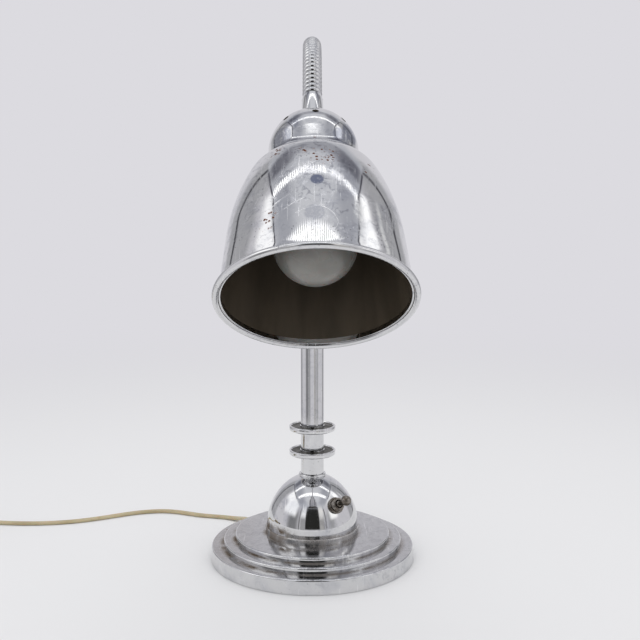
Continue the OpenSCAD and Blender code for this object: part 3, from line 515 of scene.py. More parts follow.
# The dish tops of the discs are a very dark brown-olive: partly tarnish, partly a painted reflection of the
# shade's dark inside.
DISH_TARNISH_AND_PAINTED_REFLECTION = plain_metal("dish_tarnish_and_painted_reflection", (0.075, 0.070, 0.055), (0.040, 0.038, 0.030), scale=150.0)
LACQUER = dark_lacquer()
BRASS = plain_metal("plain_brass", (0.60, 0.47, 0.24), (0.42, 0.31, 0.15))
IRON = plain_metal("cast_iron", (0.12, 0.12, 0.12), (0.07, 0.065, 0.06), rough=0.6)
STEEL = plain_metal("zinc_steel", (0.45, 0.45, 0.46), (0.32, 0.32, 0.33))
BRONZE = plain_metal("dark_bronze", (0.27, 0.25, 0.225), (0.15, 0.125, 0.10), rough=0.24, scale=260.0)
PHENOLIC = moulded("brown_phenolic", (0.055, 0.030, 0.018), (0.035, 0.018, 0.011), rough=0.25)
PORCELAIN = clouded("porcelain", ((0.70, 0.67, 0.60), (0.62, 0.58, 0.50)), (80.0, 4.0), (0.3, 0.7),
                    (0.3, 0.7, 0.12, 0.22), (300.0,), (0.00004, 0.3), coat=0.4, coat_rough=0.08)
# The frosted bulb is coloured dark grey, darker than its white glass: painted shade from the shade around it.
FROST_WITH_PAINTED_SHADE = clouded("frosted_glass_painted_shade", ((0.255, 0.246, 0.228), (0.21, 0.203, 0.187)), (90.0, 3.0), (0.3, 0.7),
                (0.3, 0.7, 0.24, 0.32), (1400.0, 2.0), (0.00002, 0.4), under=0.2, under_scale=0.004,
                coat=0.2, coat_rough=0.15)
ALUMINIUM = plain_metal("pressed_aluminium", (0.66, 0.66, 0.66), (0.55, 0.55, 0.55))
VINYL = aged_vinyl()
WIRE = moulded("wire_cover", (0.06, 0.055, 0.05), (0.04, 0.035, 0.03))
TIE = moulded("tie_strap", (0.05, 0.05, 0.05), (0.03, 0.03, 0.03), rough=0.45)
FELT = clouded("green_felt", ((0.055, 0.11, 0.065), (0.035, 0.075, 0.045)), (120.0, 6.0, 0.7), (0.3, 0.7),
               0.95, (1500.0, 4.0, 0.7, 1.5), (0.0003, 0.8), sheen=0.4)

SLOT_FINISH = {
    "chrome": CHROME, "shade_metal": SHADE_CHROME, "brass": BRASS, "cast_iron": IRON, "steel": STEEL,
    "felt": FELT, "dark_bronze": BRONZE, "phenolic": PHENOLIC, "porcelain": PORCELAIN, "glass": FROST_WITH_PAINTED_SHADE,
    "aluminium": ALUMINIUM, "cord": VINYL, "wire": WIRE, "tie": TIE,
}
NODE_SLOT = {part["node"]: part["material_slot"] for part in frame["record"]["subparts"]}
for node_name, node_object in frame["nodes"].items():
    node_object.data.materials.clear()
    node_object.data.materials.append(SLOT_FINISH[NODE_SLOT[node_name]])


# -------- making pieces


def put_tools_down():
    if bpy.context.object is not None and bpy.context.object.mode != "OBJECT":
        bpy.ops.object.mode_set(mode="OBJECT")
    bpy.ops.object.select_all(action="DESELECT")


def take(piece):
    put_tools_down()
    piece.select_set(True)
    bpy.context.view_layer.objects.active = piece


def open_up(piece, selected="SELECT"):
    """Takes a piece into edit mode with all of it or none of it selected."""
    take(piece)
    bpy.ops.object.mode_set(mode="EDIT")
    bpy.ops.mesh.select_all(action=selected)


def close_up():
    bpy.ops.object.mode_set(mode="OBJECT")


def open_faces(piece, test):
    """Takes a piece into edit mode with the faces selected whose middle and normal pass the test."""
    open_up(piece, "DESELECT")
    close_up()
    for face in piece.data.polygons:
        face.select = test(face.center / MM, face.normal)
    bpy.ops.object.mode_set(mode="EDIT")


def face_outwards(piece):
    open_up(piece)
    bpy.ops.mesh.normals_make_consistent(inside=False)
    close_up()


def modify(piece, name, kind, **settings):
    modifier = piece.modifiers.new(name, kind)
    for key, value in settings.items():
        setattr(modifier, key, value)


def apply_all(piece):
    take(piece)
    for modifier in list(piece.modifiers):
        bpy.ops.object.modifier_apply(modifier=modifier.name)


def settle(piece, place):
    """Puts a piece in its place and leaves its object at the origin."""
    take(piece)
    piece.matrix_world = place @ piece.matrix_world
    bpy.ops.object.transform_apply(location=True, rotation=True, scale=True)


def finish_piece(piece, materials, body, nodes, crease=35):
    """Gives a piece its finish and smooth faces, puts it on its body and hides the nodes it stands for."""
    take(piece)
    for material in materials if isinstance(materials, list) else [materials]:
        piece.data.materials.append(material)
    bpy.ops.object.shade_smooth_by_angle(angle=math.radians(crease))
    if body:
        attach(piece, body)
    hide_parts(*nodes)
    put_tools_down()
    return piece


def meshed(name, vertices, faces):
    mesh = bpy.data.meshes.new(name)
    mesh.from_pydata(vertices, [], faces)
    piece = bpy.data.objects.new(name, mesh)
    show(piece)
    return piece


def arc(centre, r, start, end, steps):
    angles = [start + (end - start) * i / steps for i in range(steps + 1)]
    return [(centre[0] + r * cos(a), centre[1] + r * sin(a)) for a in angles]


def turned(name, profile, steps=96, closed=True):
    """A piece turned on the lathe: the profile is (radius, height) in millimetres."""
    put_tools_down()
    bpy.ops.mesh.primitive_plane_add(size=1e-4, location=(profile[0][0] * MM, 0, profile[0][1] * MM))
    piece = bpy.context.object
    piece.name = piece.data.name = name
    bpy.ops.object.transform_apply(location=True, rotation=True, scale=True)
    open_up(piece)
    bpy.ops.mesh.merge(type="CENTER")
    ends = profile[1:] + ([profile[0]] if closed else [])
    here = profile[0]
    for point in ends:
        step = ((point[0] - here[0]) * MM, 0, (point[1] - here[1]) * MM)
        bpy.ops.mesh.extrude_region_move(TRANSFORM_OT_translate={"value": step})
        here = point
    bpy.ops.mesh.select_all(action="SELECT")
    bpy.ops.mesh.remove_doubles(threshold=2e-6)
    bpy.ops.mesh.spin(steps=steps, angle=2 * math.pi, center=(0, 0, 0), axis=(0, 0, 1))
    bpy.ops.mesh.select_all(action="SELECT")
    bpy.ops.mesh.remove_doubles(threshold=2e-6)
    bpy.ops.mesh.normals_make_consistent(inside=False)
    close_up()
    return piece


def lathe(name, profile, node, finish, steps=96, body="base", place=None, crease=35, closed=True, slot=None):
    """A turned piece that stands for one node, in its place and finished."""
    piece = turned(name, profile, steps, closed)
    if place is not None:
        settle(piece, place)
    finish_piece(piece, finish, body, [node], crease)


def paint_faces(piece, index, test):
    """Gives a material to the faces whose middle and normal pass the test."""
    for face in piece.data.polygons:
        if test(face.center / MM, face.normal):
            face.material_index = index


def distance_out(point):
    return math.hypot(point.x, point.y)


# -------- cord

CORD_W = 5.3
CORD_T = 2.8
ROUTE = [
    (-53.7, 64, 5.6), (-57.6, 68.6, 5.4), (-62, 73.8, 4.7), (-66.8, 78.8, 3.3),
    (-73, 83.6, 2), (-81, 87.4, 1.5), (-92, 90, 1.5), (-104, 93, 1.5), (-116, 98, 1.5),
    (-128, 102.6, 1.5), (-141, 104.8, 1.5), (-155, 103, 1.5), (-168, 98.6, 1.5),
    (-181, 92, 1.5), (-195, 84.6, 1.5), (-210, 78, 1.5), (-226, 73.4, 1.5),
    (-243, 71, 1.5), (-260, 70.6, 1.5), (-277, 72, 1.5), (-293, 74.4, 1.5),
    (-308, 76.6, 1.7), (-322, 77.8, 2.2), (-333, 78, 2.4), (-340, 78, 2.4),
]
COIL_TURNS = 8.25
COIL_LAYERS = 4
COIL_IN_R = 23
COIL_GAP = 0.7
COIL_PITCH = CORD_W + COIL_GAP
LAYER_PITCH = CORD_T + COIL_GAP
LAYER_TURNS = COIL_TURNS / COIL_LAYERS
COIL_OUT_R = COIL_IN_R + COIL_PITCH * LAYER_TURNS
COIL_X = ROUTE[-1][0]
COIL_Y = ROUTE[-1][1] - COIL_OUT_R
POINTS_PER_TURN = 40
TAIL_X = COIL_X - COIL_OUT_R
TAIL_LEN = 36
TAIL_SAG = 4
TAIL_STEPS = 12
TAIL_Z = ROUTE[-1][2] + (COIL_LAYERS - 1) * LAYER_PITCH
PLUG_TAPER = 18
TIE_W = 8
TIE_T = 0.6
TIE_BEND = 1.6
TIE_TURN = 20


def coil_point(share):
    """A point of the coil, whose layers run in and out by turns."""
    turn = share * COIL_TURNS
    layer = math.floor(turn / LAYER_TURNS)
    part = turn / LAYER_TURNS - layer
    r = COIL_IN_R + COIL_PITCH * LAYER_TURNS * (1 - part if layer % 2 == 0 else part)
    climb = 0
    for k in range(1, COIL_LAYERS):
        f = min(max((turn - k * LAYER_TURNS) * 2 + 0.5, 0), 1)
        climb += f * f * (3 - 2 * f)
    a = 90 + turn * 360
    return Vector((COIL_X + r * cos(a), COIL_Y + r * sin(a), ROUTE[-1][2] + LAYER_PITCH * climb))


def flowing(points, between):
    """Points on a smooth curve through the given ones."""
    points = [Vector(p) for p in points]
    out = []
    for i in range(len(points) - 1):
        a, b = points[max(i - 1, 0)], points[i]
        c, d = points[i + 1], points[min(i + 2, len(points) - 1)]
        for k in range(between):
            t = k / between
            out.append(0.5 * (2 * b + (c - a) * t + (2 * a - 5 * b + 4 * c - d) * t * t
                              + (3 * b - a - 3 * c + d) * t ** 3))
    return out + [points[-1]]


def cord_line():
    steps = round(COIL_TURNS * POINTS_PER_TURN)
    coil = [coil_point(min(i / steps, 0.999999)) for i in range(1, steps + 1)]
    tail = []
    for k in range(1, TAIL_STEPS + 1):
        share = k / TAIL_STEPS
        drop = TAIL_SAG * share + 2 * sin(180 * share)
        tail.append(Vector((TAIL_X, COIL_Y - TAIL_LEN * share, TAIL_Z - drop)))
    return [p * MM for p in flowing(ROUTE, 5) + coil + tail]


def flat_cord():
    """Two insulated wires side by side, with the groove between them."""
    line = cord_line()
    lobe = CORD_T / 2
    groove = lobe * 0.62
    wire = arc((CORD_W / 2 - lobe, 0), lobe, -112, 112, 8)
    section = wire + [(0, groove)] + [(-x, z) for x, z in reversed(wire)] + [(0, -groove)]
    vertices, faces = [], []
    for i, point in enumerate(line):
        along = line[min(i + 1, len(line) - 1)] - line[max(i - 1, 0)]
        across = Vector((-along.y, along.x, 0)).normalized()
        for x, z in section:
            vertices.append(point + across * x * MM + Vector((0, 0, z * MM)))
    n = len(section)
    for i in range(len(line) - 1):
        for k in range(n):
            j = (k + 1) % n
            faces.append((i * n + k, i * n + j, (i + 1) * n + j, (i + 1) * n + k))
    faces.append(tuple(reversed(range(n))))
    faces.append(tuple((len(line) - 1) * n + k for k in range(n)))
    cord = meshed("flat_cord", vertices, faces)
    face_outwards(cord)
    finish_piece(cord, VINYL, "base", ["cord_run", "cord_coil"], crease=60)
    length = sum((line[i + 1] - line[i]).length for i in range(len(line) - 1))
    return cord, line, length


def cord_plug():
    """Moulded plug: a rounded body with a tapered strain relief."""
    low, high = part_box("plug_body")
    size = high - low
    middle = (low + high) / 2
    taper = PLUG_TAPER * MM
    put_tools_down()
    bpy.ops.mesh.primitive_cube_add(size=1, location=(middle.x, low.y + (size.y - taper) / 2, middle.z),
                                    scale=(size.x, size.y - taper, size.z))
    plug = bpy.context.object
    plug.name = plug.data.name = "cord_plug"
    bpy.ops.object.transform_apply(location=True, rotation=True, scale=True)
    open_faces(plug, lambda at, normal: normal.y > 0.9)
    for share, width, height in ((0.0, 0.72, 0.94), (0.12, 0.78, 0.92), (0.44, 0.78, 0.80), (0.44, 0.78, 0.78)):
        bpy.ops.mesh.extrude_region_move(TRANSFORM_OT_translate={"value": (0, taper * share, 0)})
        bpy.ops.transform.resize(value=(width, 1, height))
    close_up()
    modify(plug, "rounded", "BEVEL", width=2.4 * MM, segments=4, limit_method="ANGLE")
    apply_all(plug)
    return finish_piece(plug, PHENOLIC, "base", ["plug_body"])


def cord_strap():
    """A flat strap bent round the coil."""
    in_r = COIL_IN_R - CORD_W / 2 - 0.3
    out_r = COIL_OUT_R + CORD_W / 2 + 0.3
    top = TAIL_Z + CORD_T / 2 + TIE_T + 0.3
    left, right = in_r - TIE_T + TIE_BEND, out_r + TIE_T - TIE_BEND
    low, high = TIE_BEND, top - TIE_BEND
    corners = ((right, high, 0), (left, high, 90), (left, low, 180), (right, low, 270))
    rings = [[p for x, z, a in corners for p in arc((x, z), bend, a, a + 90, 4)]
             for bend in (TIE_BEND, TIE_BEND - TIE_T)]
    n = len(rings[0])
    sides = (-TIE_W / 2, TIE_W / 2)
    vertices = [(x * MM, y * MM, z * MM) for y in sides for ring in rings for x, z in ring]
    faces = []
    for k in range(n):
        j = (k + 1) % n
        faces += [(k, 2 * n + k, 2 * n + j, j), (n + k, n + j, 3 * n + j, 3 * n + k),
                  (k, j, n + j, n + k), (2 * n + k, 3 * n + k, 3 * n + j, 2 * n + j)]
    strap = meshed("cord_strap", vertices, faces)
    settle(strap, shift(COIL_X, COIL_Y, 0) @ turn_about("Z", TIE_TURN))
    return finish_piece(strap, TIE, "base", ["cord_tie"])


cord, cord_path, cord_length = flat_cord()
plug = cord_plug()
strap = cord_strap()


# -------- base, dome and stem

TIERS = [(62.4, BASE_TOP), (71.8, 16.2), (81.6, 11.2)]
EDGE_R = 1.2
SKIN = 1
SLEEVE_R = 8.05


def base_tiers():
    outside = [(PIPE_HOLE_R, BASE_TOP)]
    for i, (r, z) in enumerate(TIERS):
        if i > 0:
            outside.append((TIERS[i - 1][0], z))
        outside += arc((r - EDGE_R, z - EDGE_R), EDGE_R, 90, 0, 6)
    outside.append((82.5, BASE_FOOT))
    inside = [(81.3, BASE_FOOT), (80.4, 10.0), (70.6, 10.0), (70.6, 15.0), (61.2, 15.0), (61.2, 19.4),
              (PIPE_HOLE_R, 19.4)]
    tiers = turned("base_tiers", outside + inside, 192)
    paint_faces(tiers, 1, lambda at, normal: normal.z > 0.97 and at.z > 10.9)
    finish_piece(tiers, [TIER_CHROME, SCUFFED], "base", ["base_shell"], crease=50)


def switch_dome():
    skirt = DOME_R - 0.2
    centre = (-DOME_POINT, DOME_Z)
    inner = DOME_CURVE - SKIN
    foot = -math.degrees(math.acos((skirt + DOME_POINT) / DOME_CURVE))
    flat = math.degrees(math.acos((DOME_FLAT_R + DOME_POINT) / DOME_CURVE))
    inner_flat = math.degrees(math.asin((DOME_TOP - SKIN - DOME_Z) / inner))
    inner_foot = -math.degrees(math.acos((skirt - SKIN + DOME_POINT) / inner))
    outside = arc(centre, DOME_CURVE, foot, flat, 56) + [(PIPE_HOLE_R, DOME_TOP)]
    inside = [(PIPE_HOLE_R, DOME_TOP - SKIN)] + arc(centre, inner, inner_flat, inner_foot, 20)
    profile = [(skirt, BASE_TOP)] + outside + inside + [(skirt - SKIN, BASE_TOP)]
    lathe("switch_dome", profile, "dome", DOME_CHROME, 160)


def stem_stack():
    lathe("dome_foot_band", [(36.85, BASE_TOP), (37.7, BASE_TOP), (37.7, 24.3), (37.6, 24.8), (37.35, 25.2),
                             (37.0, 25.4), (36.85, 25.4)], "dome_band", TIER_CHROME, 160)
    lathe("dome_neck_ring", [(PIPE_HOLE_R, DOME_TOP), (10.5, DOME_TOP)]
          + arc((9.8, DOME_TOP + 1.2), 1.2, -60, 60, 10)
          + [(10.5, RING_TOP), (PIPE_HOLE_R, RING_TOP)], "neck_ring", CHROME)
    for name, node, low, length in (("lower_sleeve", "lower_spacer", RING_TOP, SPACER_1_LEN),
                                    ("upper_sleeve", "upper_spacer", SPACER_2, SPACER_2_LEN),
                                    ("stem_sleeve", "stem_tube", TUBE, TUBE_LEN)):
        high = low + length
        lathe(name, [(SLEEVE_R, low), (STEM_R - 0.25, low), (STEM_R, low + 0.25), (STEM_R, high - 0.25),
                     (STEM_R - 0.25, high), (SLEEVE_R, high)], node, CHROME)
    for name, node, z in (("lower_flange", "lower_disc", DISC_1), ("upper_flange", "upper_disc", DISC_2)):
        top = z + DISC_H
        disc = turned(name, [(PIPE_HOLE_R, z)] + arc((17.4, z + 1.2), 1.2, -90, 0, 8)
                      + arc((17.9, z + 3.3), 0.7, 0, 90, 6)
                      + [(17.2, top), (16.7, z + 3.2), (9.85, z + 3.2), (9.85, top), (PIPE_HOLE_R, top)], 128)
        paint_faces(disc, 1, lambda at, normal: normal.z > 0.6 and 9.9 < distance_out(at) < 17.1)
        finish_piece(disc, [CHROME, DISH_TARNISH_AND_PAINTED_REFLECTION], "base", [node])
    top = NECK - 0.65
    lathe("neck_ferrule", [(8, FERRULE - 12), (8, FERRULE), (STEM_R, FERRULE), (STEM_R, FERRULE + 1.4)]
          + arc((STEM_R - 2.8, FERRULE + 1.6), 2.4, 0, 80, 10)
          + [(6.9, top - 0.6), (6.7, top), (4.6, top), (4.6, FERRULE + 3), (3.4, FERRULE + 3),
             (3.4, FERRULE - 1), (5.05, FERRULE - 1), (5.05, FERRULE - 12)], "stem_ferrule", CHROME)


# -------- switch


def toggle_switch():
    """Threaded bushing, knurled ring nut and ball-ended lever."""
    r_in, r_out, high, foot = 3.4, 5.0, DOME_CURVE + 6, DOME_CURVE - 3
    thread = []
    z = DOME_CURVE + 2.6
    while z < high - 1.0:
        thread += [(r_out, z), (r_out - 0.32, z + 0.35)]
        z += 0.7
    profile = [(r_in, high), (r_out - 0.5, high), (r_out, high - 0.5)] + list(reversed(thread))
    profile += [(r_out, DOME_CURVE + 2), (r_out, foot), (r_in, foot)]
    lathe("toggle_bushing", profile, "switch_bushing", BRONZE, 64, place=SWITCH, slot="dark_bronze")
    seat = math.sqrt(DOME_CURVE ** 2 - 5.15 ** 2)
    nut = turned("knurled_nut", [(5.06, seat), (5.9, seat), (6.25, seat + 0.35), (6.25, seat + 2.15),
                                 (5.9, seat + 2.5), (5.06, seat + 2.5)], 48)
    open_faces(nut, lambda at, normal: abs(normal.z) < 0.1 and distance_out(at) > 6)
    bpy.ops.mesh.inset(thickness=0.16 * MM, depth=0.22 * MM, use_individual=True)
    close_up()
    settle(nut, SWITCH)
    finish_piece(nut, BRONZE, "base", ["switch_nut"], crease=30)
    pivot = arc((0, 0), 2.6, -80, 40, 12)
    collar = [(2.6, 2.4), (2.75, 2.9), (2.75, 3.9), (2.4, 4.5), (1.75, 4.8)]
    stick = [(1.75, 5.6), (2.1, 7.2), (2.5, 8.5)]
    ball = arc((0, LEVER_LEN), 4.0, -48, 90, 20)
    lathe("toggle_lever", [(0, -2.6)] + pivot + collar + stick + ball, "switch_lever", BRONZE, 48, "toggle",
          LEVER, crease=50, closed=False)


# -------- gooseneck

RIBS = 84
RIB_PITCH = NECK_LEN / RIBS
RIB_STEPS = 8
GUIDE_POINTS = 300


def neck_guide():
    """The line that the gooseneck follows."""
    data = bpy.data.curves.new("neck_guide", "CURVE")
    data.dimensions = "3D"
    line = data.splines.new("POLY")
    line.points.add(GUIDE_POINTS)
    for i in range(GUIDE_POINTS + 1):
        line.points[i].co = (*on_neck(NECK_LEN * i / GUIDE_POINTS), 1)
    guide = bpy.data.objects.new("neck_guide", data)
    show(guide)
    return guide


def gooseneck():
    """Eleven ribbed lengths, one over each joint, which meet in a groove near the middle of a link."""
    half = RIB_PITCH / 2
    depth = NECK_R - GROOVE_R
    bead = (half * half + depth * depth) / (2 * depth)
    spread = math.degrees(math.asin(half / bead))
    one = arc((NECK_R - bead, half), bead, -spread, spread, RIB_STEPS)
    one[0], one[-1] = (GROOVE_R, 0.0), (GROOVE_R, RIB_PITCH)
    cuts = [0] + [round((k - 0.5) * LINK / RIB_PITCH) for k in range(1, LINKS + 1)] + [RIBS]
    guide = neck_guide()
    for k in range(LINKS + 1):
        piece = turned("gooseneck_ribs_%02d" % (k + 1), one, 40, closed=False)
        modify(piece, "ribs", "ARRAY", use_relative_offset=False, use_constant_offset=True,
               constant_offset_displace=(0, 0, RIB_PITCH * MM), count=cuts[k + 1] - cuts[k],
               use_merge_vertices=True, merge_threshold=1e-5)
        apply_all(piece)
        face_outwards(piece)
        settle(piece, shift(0, 0, cuts[k] * RIB_PITCH))
        modify(piece, "bend", "CURVE", object=guide, deform_axis="POS_Z")
        modify(piece, "wall", "SOLIDIFY", thickness=0.5 * MM, offset=-1)
        apply_all(piece)
        nodes = ["neck_link_%d" % n for n in (k, k + 1) if 1 <= n <= LINKS]
        finish_piece(piece, NECK_CHROME, None, nodes, crease=40)
        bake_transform(piece)
    bpy.data.objects.remove(guide, do_unlink=True)


# -------- shade, socket and bulb

WALL_FOOT = 55.0
WALL_TOP_H = 36.0
WALL_HEIGHTS = (3.0, 6.0, 9.0, 12.0, 16.0, 20.0, 26.0, 31.0)
TUCK = 0.61
TUCK_H = 20.0
LEAN = 5.2
CROWN_R = 131.0
CROWN_END = 25.0
SHOULDER_R = 16.0
WAIST_R = 11.0
NIPPLE_HOLE_R = 5.15
RIM_TOP = 2.3
VENTS = 8
VENT_R = 2.0
VENT_POLAR = 63
VENT_PHASE = 2
ON_HEAD = {"body": "head", "place": HEAD}


def shade_outline(inset, heights):
    """The shade from wall to nipple hole, set in by so much, with its wall's points at the heights given."""
    slope = math.tan(math.radians(LEAN))
    crown = (WALL_FOOT - WALL_TOP_H * slope - CROWN_R * cos(LEAN), WALL_TOP_H - CROWN_R * sin(LEAN))
    beside = CROWN_R - SHOULDER_R
    shoulder = (crown[0] + beside * cos(CROWN_END), crown[1] + beside * sin(CROWN_END))
    turn = math.degrees(math.acos((CAP_R + WAIST_R - shoulder[0]) / (SHOULDER_R + WAIST_R)))
    waist = (shoulder[0] + (SHOULDER_R + WAIST_R) * cos(turn), shoulder[1] + (SHOULDER_R + WAIST_R) * sin(turn))
    hole = math.degrees(math.acos(NIPPLE_HOLE_R / (CAP_R - inset)))
    wall = [(WALL_FOOT - inset - h * slope - TUCK * max(1 - h / TUCK_H, 0) ** 2, h) for h in heights]
    return (wall
            + arc(crown, CROWN_R - inset, LEAN, CROWN_END, 20)
            + arc(shoulder, SHOULDER_R - inset, CROWN_END, turn, 14)[1:]
            + arc(waist, WAIST_R + inset, 180 + turn, 180, 9)[1:]
            + arc((0, CAP_Z), CAP_R - inset, 0, hole, 26))


def bell_shade():
    """The spun shade with its rolled rim, dark lacquer inside and vents in the cap."""
    outside = shade_outline(0, WALL_HEIGHTS)
    inside = shade_outline(SHEET, (0.0, *WALL_HEIGHTS))
    rim = arc((56.3, 0.0), 2.0, -180, 150, 30)
    shade = turned("bell_shade", outside + list(reversed(inside)) + rim, 192)
    cutters = []
    for i in range(VENTS):
        put_tools_down()
        bpy.ops.mesh.primitive_cylinder_add(vertices=32, radius=VENT_R * MM, depth=10 * MM)
        cutter = bpy.context.object
        settle(cutter, turn_about("Z", i * 360 / VENTS + VENT_PHASE - 90) @ shift(0, 0, CAP_Z)
               @ turn_about("Y", VENT_POLAR) @ shift(0, 0, CAP_R))
        cutters.append(cutter)
    for i, cutter in enumerate(cutters):
        modify(shade, "vent_%d" % i, "BOOLEAN", object=cutter, operation="DIFFERENCE", solver="EXACT")
    apply_all(shade)
    for cutter in cutters:
        bpy.data.objects.remove(cutter, do_unlink=True)

    def is_inside(at, normal):
        centre = Vector((0, 0, min(at.z - 20, CAP_Z)))
        return at.z > RIM_TOP and normal.dot(at - centre) < 0

    def is_rim(at, normal):
        return at.z <= RIM_TOP and distance_out(at) > 54.2

    paint_faces(shade, 1, is_inside)
    paint_faces(shade, 2, is_rim)
    settle(shade, HEAD)
    finish_piece(shade, [SHADE_CHROME, LACQUER, RIM_CHROME], "head", ["shade"], crease=40)


def shade_fittings():
    """The collar at the gooseneck's end, and the two brass parts of the lamp holder."""
    top = HEAD_LEN - 0.65
    low = CAP_Z + math.sqrt(CAP_R ** 2 - NIPPLE_HOLE_R ** 2)
    lathe("shade_collar", [(5.05, low), (6.9, low), (6.9, low + 0.8), (6.8, top - 3.2), (6.4, top - 2.2),
                           (6.2, top - 0.4), (6.0, top), (3.4, top), (3.4, low + 8), (5.05, low + 8)],
          "neck_collar", CHROME, **ON_HEAD)
    socket_top = CAP_TOP - 10
    foot = socket_top - 48
    cap_z = socket_top - 14
    lathe("socket_sleeve", [(16.25, cap_z), (16.25, cap_z - 5), (17, cap_z - 6), (17, foot + 5),
                            (16.6, foot + 4.4), (17, foot + 3.8), (17, foot + 1.2), (17.5, foot + 0.6),
                            (17, foot), (16.3, foot), (16.3, cap_z - 6.6), (15.55, cap_z - 5.6),
                            (15.55, cap_z)], "socket_shell", BRASS, **ON_HEAD)
    lathe("socket_hood", [(17, cap_z - 4), (17, cap_z)] + arc((7, cap_z), 10, 0, 80, 14)
          + [(8, socket_top - 2), (8, socket_top), (5.05, socket_top), (5.05, socket_top - 5)]
          + arc((7, cap_z), 9.3, 80, 0, 14) + [(16.3, cap_z - 4)], "socket_cap", BRASS, **ON_HEAD)


def light_bulb():
    """Frosted round bulb with its screw cap."""
    r = 24.9
    wall = 0.8
    z = CAP_Z - 65.8
    foot = CAP_Z - 27.3
    neck = (13.0, foot)
    reach = math.hypot(neck[0], neck[1] - z)
    touch = math.degrees(math.atan2(neck[1] - z, neck[0])) - math.degrees(math.acos(r / reach))
    out = arc((0, z), r, -90, touch, 48)
    join = out[-1]
    waist = [(join[0] + (neck[0] - join[0]) * t, join[1] + (neck[1] - join[1]) * t) for t in (0.25, 0.5, 0.75)]
    stalk = [neck, (12.4, foot), (12.4, foot + 6), (11.6, foot + 6), (11.6, foot - 1)]
    lathe("bulb_glass_frosted", out + waist + stalk + arc((0, z), r - wall, touch, -90, 32), "bulb_glass",
          FROST_WITH_PAINTED_SHADE, 128, closed=False, **ON_HEAD)
    thread = [(12.85 + 0.25 * sin(i * 45 - 90), foot + 2 + i * 0.45) for i in range(41)]
    lathe("bulb_screw_cap", [(12.5, foot), neck] + thread
          + [(12.6, foot + 20.7), (6, foot + 23.5), (6, foot + 23.1), (12, foot + 20.3), (12.3, foot + 7),
             (12.5, foot + 6.2)], "bulb_cap", ALUMINIUM, **ON_HEAD)


def cord_grommet():
    lathe("cord_grommet", [(2.9, -6), (3.6, -6), (3.6, 0), (4.6, 0), (4.6, 0.5), (4.2, 1.1), (3.7, 1.5),
                           (3.1, 1.5), (2.9, 1.3)], "cord_bushing", PHENOLIC, 48, place=OUTLET)


base_tiers()
switch_dome()
stem_stack()
toggle_switch()
cord_grommet()
gooseneck()
bell_shade()
shade_fittings()
light_bulb()


# -------- studio

BACKDROP = (0.716, 0.708, 0.745)
DAYLIGHT = (0.81, 0.81, 0.825)
TABLE = (0.80, 0.80, 0.805)
FLOOR_R = 12
COMB = 0.036
# What the metal sees in front of the backdrop. Panels by direction: the turn from the camera's side (or how
# far round on both sides), from, to, softness; the rise from, to, softness; colour
PANELS = [
    ("both", 113, 147, 4, -20, 47, 6, (0.46, 0.46, 0.48)),
    ("turn", 117, 121, 1.5, 22, 34, 3, (0.85, 0.85, 0.85)),
    ("turn", -66, -38, 8, -30, 30, 10, (0.26, 0.26, 0.27)),
    ("turn", 42, 60, 8, -30, 30, 10, (0.45, 0.45, 0.46)),
    ("turn", -106, -50, 4, 35, 62, 6, (1.35, 1.35, 1.36)),
    ("turn", -88, -47, 5, 20, 66, 6, (1.35, 1.35, 1.36)),
    ("turn", 95, 110, 2.5, 33, 50, 4, (1.5, 1.5, 1.5)),
    ("turn", 44, 100, 6, 46, 66, 6, (1.25, 1.25, 1.25)),
    ("turn", 50, 72, 5, 13, 30, 4, (1.3, 1.3, 1.3)),
    ("turn", -31, -18, 2, -30, 30, 6, (0.42, 0.42, 0.43)),
    ("turn", 19, 32, 2, -30, 30, 6, (0.50, 0.49, 0.48)),
    ("turn", -31, -18, 2, 22, 50, 6, (1.25, 1.25, 1.26)),
    ("turn", 19, 32, 2, 20, 50, 6, (1.05, 1.03, 1.0)),
    ("turn", -35.5, -33, 1, -30, 46, 4, (0.16, 0.16, 0.16)),
    ("turn", 34.5, 37, 1, -30, 46, 4, (0.16, 0.16, 0.16)),
    ("both", 134, 137, 1, -20, 48, 4, (0.08, 0.08, 0.09)),
    ("turn", -18, 19, 1.2, -3, 45, 2, (0.028, 0.028, 0.026)),
]
# The ceiling, in its plane: across from, to, softness; ahead from, to, softness; share; colour
CEILING = [
    (-0.78, 0.78, 0.02, -1.0, 1.0, 0.25, 1.0, (0.74, 0.75, 0.79)),
    (0.36, 0.76, 0.14, -0.8, 1.0, 0.25, 0.7, (0.36, 0.37, 0.42)),
    (0.34, 0.76, 0.10, 0.40, 0.76, 0.08, 0.8, (0.13, 0.13, 0.16)),
    (-0.50, 0.50, 0.20, 0.48, 0.80, 0.08, 0.6, (0.26, 0.26, 0.30)),
]
CEILING_EDGE = (0.765, 0.80, 0.012, -0.30, 0.72, 0.05, 1.0, (0.08, 0.08, 0.10))
# Lamp bars in the ceiling: how far ahead, half their width, half their length, glow
LAMP_BARS = [(-0.275, 0.065, 0.66, 2.8), (0.165, 0.05, 0.76, 2.9)]


